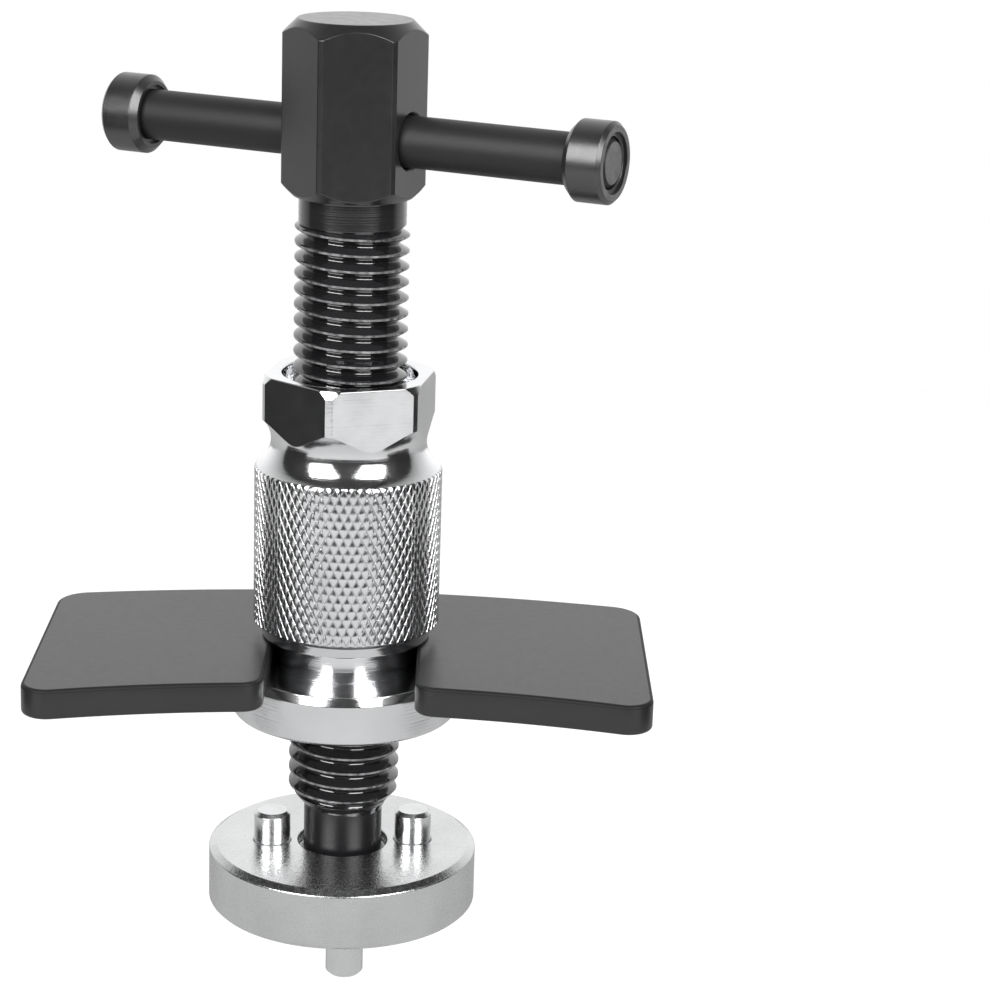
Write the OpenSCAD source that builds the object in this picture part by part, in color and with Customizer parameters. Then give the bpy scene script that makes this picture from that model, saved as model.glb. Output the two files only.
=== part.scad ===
// Brake caliper piston tool. A lead screw with a sliding handle bar turns in a knurled sleeve.
// The sleeve bears on a slotted reaction plate through the ball thrust bearing in its collar.
// The screw's square drive pushes and turns an adapter disc with a pair of pins on each face.
// Millimetres. The origin is on the screw's axis, at the upper face of the reaction plate.
// +Z points to the handle bar and +X runs along the plate.

/* [Lead screw] */
// Outside diameter of the screw thread
thread_d = 18; // [16:0.5:20]
// Length of the threaded shaft, with its end chamfer
thread_len = 96.7; // [90:0.1:110]
// Length of the chamfer at the thread's lower end
thread_tip = 3; // [1:0.1:4]
// Pitch of the thread
thread_pitch = 2.5; // [2:0.1:4]
// Depth of the thread
thread_depth = 1.5; // [0.8:0.1:1.8]
// Head size across flats
head_af = 19.8; // [18:0.1:24]
// Diameter that the head's corners are turned to
head_corner_d = 22.4; // [20:0.1:26]
// Height of the head
head_len = 27.2; // [22:0.1:34]
// Chamfer round the head's upper end
head_top_chamfer = 2.3; // [1:0.1:3]
// Chamfer round the head's lower end
head_low_chamfer = 1.75; // [0.5:0.05:2.5]
// Free length between the sleeve and the head, as shown
head_gap = 28.25; // [22:0.05:34]
// Diameter of the plain relief under the head
relief_d = 16.9; // [15:0.1:17.5]
// Length of the plain relief under the head
relief_len = 4.35; // [2:0.05:6]
// Diameter of the plain spigot under the thread
spigot_d = 12.8; // [12:0.1:13.2]
// Length of spigot between the thread and the adapter disc
spigot_len = 6.85; // [3:0.05:10]
// Square drive size across flats
drive_af = 9.5; // [8:0.1:10]
// Length of the square drive
drive_len = 6; // [4:0.1:7.5]
// Diameter of the magnet in the drive's end
magnet_d = 6; // [3:0.5:7]
// Length of the magnet
magnet_len = 4; // [2:0.5:6]

/* [Handle bar] */
// Diameter of the sliding bar
bar_d = 8; // [6:0.5:10]
// Length of the bar
bar_len = 85.4; // [70:0.1:120]
// Height of the bar's axis above the underside of the head
bar_height = 9.2; // [7:0.1:16]
// Distance that the bar stands off its middle, as shown
bar_shift = 0.75; // [-20:0.05:20]
// Direction of the bar about the screw's axis, in degrees
bar_turn = -25.4; // [-90:0.1:90]
// Radial clearance of the bar in its hole
bar_gap = 0.1; // [0.05:0.01:0.2]
// Chamfer at the mouths of the bar's hole
bar_hole_chamfer = 0.5; // [0.2:0.1:1]
// Chamfer on the ends of the bar
bar_tip = 0.8; // [0.3:0.1:1.5]
// Outside diameter of the end caps
cap_d = 12.5; // [11:0.1:16]
// Length of an end cap
cap_len = 6.4; // [4:0.1:10]
// Chamfer on a cap's inner edge
cap_inner_chamfer = 1; // [0.2:0.1:1.5]
// Chamfer on a cap's outer edge
cap_outer_chamfer = 0.6; // [0.2:0.1:1.2]
// Diameter of the recess in each end of a cap
cap_recess_d = 9.3; // [9:0.1:9.8]
// Depth of the recess in each end of a cap
cap_recess = 0.7; // [0.3:0.1:1.5]
// Depth of the bar's end below a cap's outer face
bar_inset = 0.3; // [0:0.1:0.8]

/* [Knurled sleeve] */
// Diameter over the knurl
knurl_d = 30; // [28:0.1:32]
// Length of the knurled band
knurl_len = 24.15; // [15:0.05:35]
// Plain land between the knurl and the waist
knurl_land = 1.3; // [0.5:0.1:3]
// Radial size of the sleeve's lower chamfer
sleeve_chamfer = 1.5; // [0.5:0.1:2]
// Height of the sleeve's lower chamfer
sleeve_chamfer_h = 2.55; // [1:0.05:4]
// Diameter of the turned waist under the hexagon
waist_d = 24.8; // [24:0.1:24.9]
// Radius of the turned waist
waist_r = 5; // [4:0.1:7]
// Hexagon size across flats
hex_af = 25; // [25:0.1:26]
// Diameter that the hexagon's corners are turned to
hex_corner_d = 28.25; // [26.5:0.05:28.8]
// Height of the hexagon above the middle of the waist
hex_len = 10.95; // [8:0.05:16]
// Height of the chamfer on top of the hexagon
hex_chamfer = 1.25; // [0.5:0.05:2]
// Direction of one corner of the hexagon, in degrees
hex_turn = 19.35; // [0:0.05:60]
// Diameter of the counterbore in the sleeve's top
cup_d = 21.5; // [20:0.1:22.5]
// Depth of the counterbore in the sleeve's top
cup_depth = 5; // [2:0.1:8]
// Radial clearance between the screw and the sleeve
screw_gap = 0.05; // [0.03:0.01:0.1]
// Diameter of the neck that runs in the plate's slot and in the collar
neck_d = 22; // [21.5:0.1:23]
// Clearance between the sleeve's underside and the plate
sleeve_gap = 0.3; // [0.1:0.05:1]

/* [Thrust collar] */
// Outside diameter of the collar
collar_d = 36.4; // [35:0.1:40]
// Height of the collar
collar_h = 7.9; // [6.5:0.1:9]
// Thickness of the collar over the bearing
collar_roof = 2; // [1.5:0.1:3]
// Thickness of the collar round the bearing
collar_wall = 1.8; // [1.2:0.1:2.2]
// Radial size of the collar's upper chamfer
collar_chamfer = 0.65; // [0.3:0.05:1.2]
// Height of the collar's upper chamfer
collar_chamfer_h = 1.35; // [0.3:0.05:2]
// Chamfer round the collar's lower edge
collar_low_chamfer = 0.4; // [0.2:0.1:0.8]
// Radial clearance of the collar on the neck
collar_gap = 0.05; // [0.03:0.01:0.1]

/* [Thrust bearing] */
// Diameter of a bearing ball
ball_d = 3; // [2:0.1:3.4]
// Thickness of a race
race_t = 1.3; // [1:0.1:2]
// Depth of the groove in a race
race_groove = 0.2; // [0.1:0.05:0.4]
// Radial clearance of a race
race_gap = 0.15; // [0.05:0.05:0.3]
// Clearance of a ball in its grooves and its pocket
ball_gap = 0.05; // [0.03:0.01:0.1]
// Distance between ball centres, in ball diameters
ball_pitch = 1.7; // [1.4:0.1:3]
// Thickness of the ball cage
cage_t = 1.4; // [0.8:0.1:1.8]
// Radial clearance of the ball cage
cage_gap = 0.4; // [0.2:0.1:0.8]
// Thickness of the retaining ring
clip_t = 1; // [0.8:0.1:1.5]
// Depth of the retaining ring's groove in the neck
clip_groove = 0.5; // [0.3:0.05:0.7]
// Radial width of the retaining ring
clip_w = 2.4; // [1.8:0.1:3]
// Angle of the retaining ring's opening, in degrees
clip_open = 40; // [20:1:70]
// Length of neck below the retaining ring
neck_tail = 1.2; // [0.8:0.1:2]

/* [Reaction plate] */
// Length of the plate
plate_len = 97; // [80:0.5:120]
// Thickness of the plate
plate_t = 4.8; // [4:0.1:6]
// Distance from the axis to the front edge, at the middle
plate_front = 24.5; // [21:0.1:30]
// Distance from the axis to the back edge, at the middle
plate_back = 22.3; // [18:0.1:30]
// Radius of the concave front edge
front_r = 160; // [120:1:240]
// Radius of the back corners
back_corner_r = 5.5; // [3:0.1:9]
// Radius of the front corners
front_corner_r = 4; // [2:0.1:8]
// Radius of the corners at the slot's mouth
mouth_r = 3.5; // [1:0.1:6]
// Clearance between the neck and each side of the slot
slot_gap = 0.75; // [0.3:0.05:1.2]

/* [Adapter disc] */
// Diameter of the disc
disc_d = 44; // [42:0.1:54]
// Thickness of the disc
disc_t = 10; // [9.5:0.1:14]
// Direction of the upper pair of pins, in degrees
disc_turn = 4.35; // [-90:0.05:90]
// Radial size of the disc's upper chamfer
disc_chamfer = 1.2; // [0.4:0.1:1.5]
// Height of the disc's upper chamfer
disc_chamfer_h = 0.75; // [0.3:0.05:1.5]
// Chamfer round the disc's lower edge
disc_low_chamfer = 0.6; // [0.2:0.1:1]
// Diameter of the recess round the drive, in each face
recess_d = 14.8; // [14.2:0.1:16.4]
// Depth of the recess round the drive, in each face
recess_depth = 2; // [1:0.1:2.4]
// Clearance on each side of the square drive
drive_gap = 0.1; // [0.05:0.01:0.2]
// Diameter of the pins
pin_d = 6; // [4:0.1:6.5]
// Chamfer on the tip of a pin
pin_tip = 0.6; // [0.2:0.1:1]
// Depth of a pin in the disc
pin_seat = 4.2; // [3:0.1:5]
// Pitch circle of the upper pins
upper_pcd = 23.2; // [23.2:0.1:26]
// Height of the upper pins above the disc
upper_out = 5.2; // [3:0.1:8]
// Pitch circle of the lower pins
lower_pcd = 34.2; // [28:0.1:35]
// Height of the lower pins below the disc
lower_out = 5.8; // [3:0.1:9]

/* [Hidden] */
$fn = 96;
// Overrun of a cutting tool past the face it cuts
cut = 1;
// Radial gap that keeps a pressed joint from overlapping
press_gap = 0.02;
// Break on small turned edges
edge = 0.4;

// Heights up the sleeve, from the plate's upper face
sleeve_z = sleeve_gap;
knurl_z = sleeve_z + sleeve_chamfer_h;
shoulder_z = knurl_z + knurl_len + knurl_land;
shoulder_step = (knurl_d - waist_d) / 2;
waist_z = shoulder_z + sqrt(pow(waist_r, 2) - pow(waist_r - shoulder_step, 2));
sleeve_top = waist_z + hex_len;
thread_bore_d = thread_d + 2 * screw_gap;

// Heights of the lead screw
head_z = sleeve_top + head_gap;
relief_z = head_z - relief_len;
thread_z = relief_z - thread_len;
disc_top = thread_z - spigot_len;
spigot_z = disc_top - recess_depth;
drive_z = spigot_z - drive_len;
bar_z = head_z + bar_height;

// Section of the thread, whose grooves run from its lower chamfer up to the relief
thread_crest = thread_pitch / 5;
thread_root = thread_pitch / 8;
thread_flank = (thread_pitch - thread_crest - thread_root) / 2;
crest_z = thread_z + thread_tip;
groove_count = floor((relief_z - edge - crest_z - thread_crest) / thread_pitch);

// Heights of the collar and its bearing, hung from the plate's lower face
collar_z = -plate_t;
roof_z = collar_z - collar_roof;
race_space = ball_d - 2 * race_groove;
ball_z = roof_z - race_t - race_space / 2;
low_race_z = roof_z - 2 * race_t - race_space;
clip_z = low_race_z - clip_t;
neck_z = clip_z - neck_tail;

// Radii of the bearing
cavity_d = collar_d - 2 * collar_wall;
race_in_d = neck_d + 2 * race_gap;
race_out_d = cavity_d - 2 * race_gap;
ball_circle_d = (race_in_d + race_out_d) / 2;
ball_count = floor(PI * ball_circle_d / (ball_d * ball_pitch));
clip_in_d = neck_d - 2 * clip_groove;
lug_r = clip_w * 0.7;

// Outline of the plate, on arcs about one centre in front of it
slot_w = neck_d + 2 * slot_gap;
arc_y = -plate_front - front_r;
back_r = front_r + plate_front + plate_back;

disc_z = disc_top - disc_t;
cap_in = bar_len / 2 + bar_inset - cap_len;

// Shaft or bore between two heights
module round_bar(d, z0, z1) {
    translate([0, 0, z0]) cylinder(d = d, h = z1 - z0);
}

// Hexagonal prism, with one corner in the given direction
module hex_bar(af, z0, z1, turn) {
    rotate(turn) translate([0, 0, z0]) cylinder(d = af / cos(30), h = z1 - z0, $fn = 6);
}

// Places its children with +Z along the handle bar, slid by some distance from the middle of its hole
module along_bar(slid = 0) {
    translate([0, 0, bar_z]) rotate(bar_turn) rotate([0, 90, 0]) translate([0, 0, slid]) children();
}

// Head of the screw: a hexagon with both ends turned to a chamfer
module screw_head() {
    r = head_corner_d / 2;
    intersection() {
        hex_bar(head_af, head_z, head_z + head_len, bar_turn + 30);
        translate([0, 0, head_z]) rotate_extrude()
            polygon([[0, 0], [r - head_low_chamfer, 0], [r, head_low_chamfer],
                [r, head_len - head_top_chamfer], [r - head_top_chamfer, head_len], [0, head_len]]);
    }
}

// Corners of one groove of the thread, from its lower edge to its upper edge
function groove(z) = let (r = thread_d / 2, root_r = r - thread_depth, root_z = z + thread_flank)
    [[r, z], [root_r, root_z], [root_r, root_z + thread_root], [r, root_z + thread_root + thread_flank]];

// Turned shaft: relief, thread with its grooves as rings at the pitch, and spigot
module screw_shaft() {
    grooves = [for (i = [0 : groove_count - 1]) each groove(crest_z + thread_crest + i * thread_pitch)];
    rotate_extrude()
        polygon(concat(
            [[0, spigot_z], [spigot_d / 2, spigot_z], [spigot_d / 2, thread_z], [thread_d / 2, crest_z]],
            grooves,
            [[thread_d / 2, relief_z - edge], [relief_d / 2, relief_z], [relief_d / 2, head_z + cut],
                [0, head_z + cut]]));
}

// Square drive with its corners turned below the spigot, which leaves a shoulder all round
module square_drive() {
    intersection() {
        translate([-drive_af / 2, -drive_af / 2, drive_z]) cube([drive_af, drive_af, drive_len + cut]);
        round_bar(spigot_d - 2 * edge, drive_z, spigot_z + cut);
    }
}

// Cross hole for the handle bar, chamfered at both flats
module bar_hole() {
    d = bar_d + 2 * bar_gap;
    flat = head_af / 2;
    along_bar() {
        round_bar(d, -head_corner_d, head_corner_d);
        for (side = [0, 1]) mirror([0, 0, side]) translate([0, 0, flat - bar_hole_chamfer])
            cylinder(d1 = d, d2 = d + 4 * bar_hole_chamfer, h = 2 * bar_hole_chamfer);
    }
}

module lead_screw() {
    color("#26272a") difference() {
        union() {
            screw_head();
            screw_shaft();
            rotate(disc_turn) square_drive();
        }
        bar_hole();
        round_bar(magnet_d + 4 * press_gap, drive_z - cut, drive_z + magnet_len);
    }
}

module drive_magnet() {
    color("#b9bcc0") round_bar(magnet_d, drive_z, drive_z + magnet_len);
}

module tee_bar() {
    r = bar_d / 2;
    h = bar_len / 2;
    color("#2f3033") along_bar(bar_shift) rotate_extrude()
        polygon([[0, -h], [r - bar_tip, -h], [r, bar_tip - h], [r, h - bar_tip], [r - bar_tip, h], [0, h]]);
}

// End cap pressed on the bar, with a recess round the bar in each end
module bar_cap() {
    r = cap_d / 2;
    bore = bar_d / 2 + press_gap;
    rec = cap_recess_d / 2;
    translate([0, 0, cap_in]) rotate_extrude()
        polygon([[bore, cap_recess], [rec, cap_recess], [rec, 0], [r - cap_inner_chamfer, 0],
            [r, cap_inner_chamfer], [r, cap_len - cap_outer_chamfer], [r - cap_outer_chamfer, cap_len],
            [rec, cap_len], [rec, cap_len - cap_recess], [bore, cap_len - cap_recess]]);
}

module bar_cap_near() {
    color("#2f3033") along_bar(bar_shift) bar_cap();
}

module bar_cap_far() {
    color("#2f3033") along_bar(bar_shift) mirror([0, 0, 1]) bar_cap();
}

// Lower body of the sleeve: neck, chamfer and knurled band
module sleeve_barrel() {
    neck = neck_d / 2;
    r = knurl_d / 2;
    rotate_extrude()
        polygon([[0, neck_z], [neck - edge, neck_z], [neck, neck_z + edge], [neck, sleeve_z],
            [r - sleeve_chamfer, sleeve_z], [r, knurl_z], [r, waist_z], [0, waist_z]]);
}

// Hexagon of the sleeve, turned on its corners and chamfered on top
module sleeve_hexagon() {
    r = hex_corner_d / 2;
    intersection() {
        hex_bar(hex_af, waist_z, sleeve_top, hex_turn);
        rotate_extrude()
            polygon([[0, waist_z], [r, waist_z], [r, sleeve_top - hex_chamfer],
                [hex_af / 2, sleeve_top], [0, sleeve_top]]);
    }
}

// The waist is turned after the hexagon is milled, so its curve ends each flat in a point
module knurled_sleeve() {
    bore = thread_bore_d / 2;
    color("#d5d7da") difference() {
        union() {
            sleeve_barrel();
            sleeve_hexagon();
        }
        rotate_extrude() translate([waist_d / 2 + waist_r, waist_z]) circle(r = waist_r);
        round_bar(thread_bore_d, neck_z - cut, sleeve_top + cut);
        round_bar(cup_d, sleeve_top - cup_depth, sleeve_top + cut);
        translate([0, 0, neck_z - edge]) cylinder(r1 = bore + 2 * edge, r2 = bore, h = 2 * edge);
        difference() {
            round_bar(neck_d + 2 * cut, clip_z - press_gap, clip_z + clip_t + press_gap);
            round_bar(clip_in_d, clip_z - cut, clip_z + clip_t + cut);
        }
    }
}

module thrust_collar() {
    r = collar_d / 2;
    low = collar_z - collar_h;
    bore = neck_d / 2 + collar_gap;
    color("#c9cbce") rotate_extrude()
        polygon([[bore, roof_z], [bore, collar_z], [r - collar_chamfer, collar_z],
            [r, collar_z - collar_chamfer_h], [r, low + collar_low_chamfer], [r - collar_low_chamfer, low],
            [cavity_d / 2, low], [cavity_d / 2, roof_z]]);
}

// Flat ring with a groove for the balls
module race(z) {
    color("#aeb2b6") difference() {
        round_bar(race_out_d, z, z + race_t);
        round_bar(race_in_d, z - cut, z + race_t + cut);
        rotate_extrude() translate([ball_circle_d / 2, ball_z]) circle(d = ball_d + 2 * ball_gap);
    }
}

module upper_race() {
    race(roof_z - race_t);
}

module lower_race() {
    race(low_race_z);
}

// Places its children at every ball
module at_balls() {
    for (i = [0 : ball_count - 1])
        rotate(i * 360 / ball_count) translate([ball_circle_d / 2, 0, ball_z]) children();
}

module ball_cage() {
    color("#b08d3e") difference() {
        round_bar(race_out_d - 2 * cage_gap, ball_z - cage_t / 2, ball_z + cage_t / 2);
        round_bar(race_in_d + 2 * cage_gap, ball_z - cage_t, ball_z + cage_t);
        at_balls() cylinder(d = ball_d + 2 * ball_gap, h = 2 * cage_t, center = true);
    }
}

module bearing_balls() {
    color("#dcdfe2") at_balls() sphere(d = ball_d);
}

// Open ring with a lug and a plier hole at each end
module retaining_ring() {
    mid = clip_in_d / 2 + press_gap + clip_w / 2;
    half = clip_open / 2;
    reach = 2 * collar_d;
    color("#3a3b3e") translate([0, 0, clip_z]) linear_extrude(clip_t) difference() {
        union() {
            difference() {
                circle(r = mid + clip_w / 2);
                polygon([[0, 0], for (side = [-1, 1]) reach * [side * sin(half), cos(half)]]);
            }
            for (side = [-1, 1]) rotate(side * (half + 7)) translate([0, mid + clip_w / 4]) circle(r = lug_r);
        }
        circle(d = clip_in_d + 2 * press_gap);
        for (side = [-1, 1]) rotate(side * (half + 7)) translate([0, mid + clip_w / 4]) circle(r = lug_r / 2);
    }
}

// Centre of a rounding whose circle stands at x and touches an arc of the outline
function round_at(x, reach) = [x, arc_y + sqrt(pow(reach, 2) - pow(x, 2))];

// Waste outside a rounded corner between an upright edge and an arc of the outline.
// side is the way out across the upright edge, and out is the way out across the arc.
module corner_waste(centre, r, side, out) {
    n = out * (centre - [0, arc_y]) / norm(centre - [0, arc_y]);
    s = [side, 0];
    e = r + cut;
    difference() {
        polygon([for (v = [[0, 0], r * s, e * s, e * (s + n) / (1 + s * n), e * n, r * n]) centre + v]);
        translate(centre) circle(r = r);
    }
}

// Half ring between two arcs, cut square at the ends and slotted from the front, with rounded corners
module plate_outline() {
    half = plate_len / 2;
    difference() {
        intersection() {
            translate([0, arc_y]) difference() {
                circle(r = back_r, $fn = 360);
                circle(r = front_r, $fn = 360);
            }
            translate([-half, -2 * plate_front]) square([plate_len, 2 * (plate_front + plate_back)]);
        }
        circle(d = slot_w);
        translate([-slot_w / 2, -2 * plate_front]) square([slot_w, 2 * plate_front]);
        for (m = [0, 1]) mirror([m, 0]) {
            corner_waste(round_at(half - back_corner_r, back_r - back_corner_r), back_corner_r, 1, 1);
            corner_waste(round_at(half - front_corner_r, front_r + front_corner_r), front_corner_r, 1, -1);
            corner_waste(round_at(slot_w / 2 + mouth_r, front_r + mouth_r), mouth_r, -1, -1);
        }
    }
}

module reaction_plate() {
    color("#4a4b4d") translate([0, 0, -plate_t]) linear_extrude(plate_t) plate_outline();
}

// Places its children on the pitch circle of a pair of pins, at a quarter turn for the lower pair
module at_pin(pcd, turn) {
    rotate(disc_turn + turn) translate([pcd / 2, 0, 0]) children();
}

module adapter_disc() {
    r = disc_d / 2;
    hole = drive_af + 2 * drive_gap;
    pin_hole_d = pin_d + 2 * press_gap;
    color("#bfc2c5") difference() {
        rotate_extrude()
            polygon([[0, disc_z], [r - disc_low_chamfer, disc_z], [r, disc_z + disc_low_chamfer],
                [r, disc_top - disc_chamfer_h], [r - disc_chamfer, disc_top], [0, disc_top]]);
        rotate(disc_turn) translate([-hole / 2, -hole / 2, disc_z - cut])
            cube([hole, hole, disc_t + 2 * cut]);
        round_bar(recess_d, disc_top - recess_depth, disc_top + cut);
        round_bar(recess_d, disc_z - cut, disc_z + recess_depth);
        for (turn = [0, 180]) {
            at_pin(upper_pcd, turn) round_bar(pin_hole_d, disc_top - pin_seat, disc_top + cut);
            at_pin(lower_pcd, turn + 90) round_bar(pin_hole_d, disc_z - cut, disc_z + pin_seat);
        }
    }
}

// Dowel pin with its foot at the origin and a chamfered tip
module pin(len) {
    r = pin_d / 2;
    color("#d2d4d7") rotate_extrude()
        polygon([[0, 0], [r, 0], [r, len - pin_tip], [r - pin_tip, len], [0, len]]);
}

module upper_pin(turn) {
    at_pin(upper_pcd, turn) translate([0, 0, disc_top - pin_seat]) pin(pin_seat + upper_out);
}

module lower_pin(turn) {
    at_pin(lower_pcd, turn) translate([0, 0, disc_z + pin_seat]) mirror([0, 0, 1]) pin(pin_seat + lower_out);
}

module upper_pin_right() {
    upper_pin(0);
}

module upper_pin_left() {
    upper_pin(180);
}

module lower_pin_front() {
    lower_pin(-90);
}

module lower_pin_rear() {
    lower_pin(90);
}

lead_screw();
drive_magnet();
tee_bar();
bar_cap_near();
bar_cap_far();
knurled_sleeve();
thrust_collar();
upper_race();
ball_cage();
bearing_balls();
lower_race();
retaining_ring();
reaction_plate();
adapter_disc();
upper_pin_left();
upper_pin_right();
lower_pin_front();
lower_pin_rear();
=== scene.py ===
"""Looks of a brake caliper piston tool: lead screw, handle bar, knurled sleeve, slotted plate, adapter disc.

Every size is in millimetres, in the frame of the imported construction, and every mesh is made in metres.
"""
import logging
import math
from dataclasses import dataclass
from enum import Enum
from typing import Callable, Iterable, Sequence, Union

import bmesh
import bpy
from mathutils import Matrix, Vector


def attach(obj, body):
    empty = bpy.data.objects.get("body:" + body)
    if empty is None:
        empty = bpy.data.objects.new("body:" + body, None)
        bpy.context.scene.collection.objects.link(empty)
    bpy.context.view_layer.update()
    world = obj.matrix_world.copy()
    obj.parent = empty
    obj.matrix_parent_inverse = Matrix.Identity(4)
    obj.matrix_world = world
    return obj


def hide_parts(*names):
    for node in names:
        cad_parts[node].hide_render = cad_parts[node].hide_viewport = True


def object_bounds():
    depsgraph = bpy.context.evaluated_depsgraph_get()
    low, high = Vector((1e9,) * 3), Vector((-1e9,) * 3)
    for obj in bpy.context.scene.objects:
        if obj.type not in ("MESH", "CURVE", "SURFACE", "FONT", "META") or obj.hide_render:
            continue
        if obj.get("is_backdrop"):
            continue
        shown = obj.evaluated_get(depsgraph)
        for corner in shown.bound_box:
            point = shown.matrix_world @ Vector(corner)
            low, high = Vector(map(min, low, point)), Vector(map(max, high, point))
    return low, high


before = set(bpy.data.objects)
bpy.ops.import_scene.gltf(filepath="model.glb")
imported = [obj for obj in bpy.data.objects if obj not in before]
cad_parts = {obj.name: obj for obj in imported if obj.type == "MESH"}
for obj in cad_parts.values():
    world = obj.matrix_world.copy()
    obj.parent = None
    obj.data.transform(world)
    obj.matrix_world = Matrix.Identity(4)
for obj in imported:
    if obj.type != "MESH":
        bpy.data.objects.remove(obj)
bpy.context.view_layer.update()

log = logging.getLogger("piston_tool")
MM = 0.001
FULL_TURN = 2.0 * math.pi
SHARP_ANGLE = math.radians(42.0)
# Points this near are one point, and edges this short are none, in millimetres
SAME_POINT, NO_EDGE = 0.0002, 0.0001
# How far a cutting tool runs past the face that it cuts, in millimetres
OVERRUN = 1.0
# Where most values of a noise lie, and how much of its fine detail shows
NOISE_LOW, NOISE_HIGH, NOISE_ROUGHNESS = 0.3, 0.7, 0.55

Section = list[Vector]
Value = Union[float, int, bpy.types.NodeSocket]


@dataclass(frozen=True)
class Corner:
    """A corner of a section: its radius, its height and the radius that softens it."""

    r: float
    z: float
    soft: float = 0.0


def rounded(corners: Sequence[Corner], closed: bool = False, steps: int = 3) -> Section:
    """Rounds the corners of a section and holds its straight runs flat beside them.

    Args:
        corners: The corners in order.
        closed: Whether the last corner joins the first.
        steps: How many straight pieces make up a rounding.

    Returns:
        The points as (radius, height), always as many for the same list of corners.
    """
    hold, most, share = 0.12, 0.4, 0.08
    spots = [Vector((c.r, c.z)) for c in corners]
    points: Section = []
    for i, corner in enumerate(corners):
        here = spots[i]
        if corner.soft <= 0.0 or (not closed and i in (0, len(corners) - 1)):
            points.append(here)
            continue
        back, on = spots[i - 1] - here, spots[(i + 1) % len(spots)] - here
        run_back, run_on = back.length, on.length
        back.normalize()
        on.normalize()
        half = back.angle(on) / 2.0
        reach = min(corner.soft / math.tan(half), most * run_back, most * run_on)
        radius = reach * math.tan(half)
        centre = here + (back + on).normalized() * (radius / math.sin(half))
        first, last = here + back * reach - centre, here + on * reach - centre
        start = math.atan2(first.y, first.x)
        sweep = math.remainder(math.atan2(last.y, last.x) - start, FULL_TURN)
        points.append(here + back * (reach + min(hold, share * run_back)))
        for k in range(steps + 1):
            a = start + sweep * k / steps
            points.append(centre + radius * Vector((math.cos(a), math.sin(a))))
        points.append(here + on * (reach + min(hold, share * run_on)))
    return points


def columns(count: int, marks: Iterable[float] = ()) -> list[float]:
    """Directions of a turned mesh's columns.

    Args:
        count: Number of even columns in a turn.
        marks: Directions that need a column of their own; even columns that crowd one are left out.

    Returns:
        The directions in order, in radians.
    """
    step, crowded = FULL_TURN / count, 0.3
    kept = sorted(m % FULL_TURN for m in marks)
    even = (k * step for k in range(count))
    free = [a for a in even if all(abs(math.remainder(a - m, FULL_TURN)) > crowded * step for m in kept)]
    return sorted(free + kept)


def flat_marks(across: float, corner_d: float, sides: int, turn: float) -> list[float]:
    """Directions where the flats of a turned polygon meet its corner lands, with one column beside each.

    Args:
        across: Size across flats.
        corner_d: Diameter that the corners are turned to.
        sides: Number of flats.
        turn: Direction of one flat's normal, in degrees.

    Returns:
        The directions, in radians.
    """
    edge, beside = math.acos(across / corner_d), math.radians(0.7)
    middles = [math.radians(turn) + k * FULL_TURN / sides for k in range(sides)]
    return [m + side * edge + d for m in middles for side in (-1, 1) for d in (-beside, 0.0, beside)]


def flat_radius(a: float, across: float, corner_d: float, sides: int, turn: float) -> float:
    """Radius of a polygon with turned corners in one direction.

    Args:
        a: The direction, in radians.
        across: Size across flats.
        corner_d: Diameter that the corners are turned to.
        sides: Number of flats.
        turn: Direction of one flat's normal, in degrees.

    Returns:
        The radius there.
    """
    off = math.remainder(a - math.radians(turn), FULL_TURN / sides)
    return min(across / 2.0 / math.cos(off), corner_d / 2.0)


def added(name: str, data: bpy.types.ID) -> bpy.types.Object:
    """Makes an object and puts it into the scene."""
    made = bpy.data.objects.new(name, data)
    bpy.context.scene.collection.objects.link(made)
    return made


def shade(mesh: bpy.types.Mesh) -> None:
    """Shades a mesh smooth apart from its sharp edges."""
    for face in mesh.polygons:
        face.use_smooth = True
    mesh.set_sharp_from_angle(angle=SHARP_ANGLE)


def new_piece(
    name: str, verts: Sequence[Sequence[float]], faces: Sequence[Sequence[int]]
) -> bpy.types.Object:
    """Makes a closed piece from points in millimetres, with its doubles merged and its faces outward.

    Args:
        name: Name of the piece.
        verts: Its points.
        faces: Its faces, as indices of points.

    Returns:
        The new object, at the origin.
    """
    mesh = bpy.data.meshes.new(name)
    mesh.from_pydata([tuple(c * MM for c in v) for v in verts], [], faces)
    bm = bmesh.new()
    bm.from_mesh(mesh)
    bmesh.ops.remove_doubles(bm, verts=bm.verts, dist=SAME_POINT * MM)
    bmesh.ops.dissolve_degenerate(bm, edges=bm.edges, dist=NO_EDGE * MM)
    bmesh.ops.recalc_face_normals(bm, faces=bm.faces)
    bm.to_mesh(mesh)
    bm.free()
    shade(mesh)
    return added(name, mesh)


def turned(
    name: str,
    section: Union[Section, Callable[[float], Section]],
    around: Sequence[float],
    closed: bool = False,
) -> bpy.types.Object:
    """Turns a section about the Z axis.

    Args:
        name: Name of the piece.
        section: The section, or a function that gives it for a direction.
        around: Directions of the columns.
        closed: Whether the section is a loop clear of the axis.

    Returns:
        The new object.
    """
    rows = [section(a) if callable(section) else section for a in around]
    n, high = len(around), len(rows[0])
    verts = [(p.x * math.cos(a), p.x * math.sin(a), p.y) for a, row in zip(around, rows) for p in row]
    faces = []
    for i in range(n):
        j = (i + 1) % n
        for k in range(high if closed else high - 1):
            m = (k + 1) % high
            faces.append((i * high + k, j * high + k, j * high + m, i * high + m))
    return new_piece(name, verts, faces)


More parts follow.
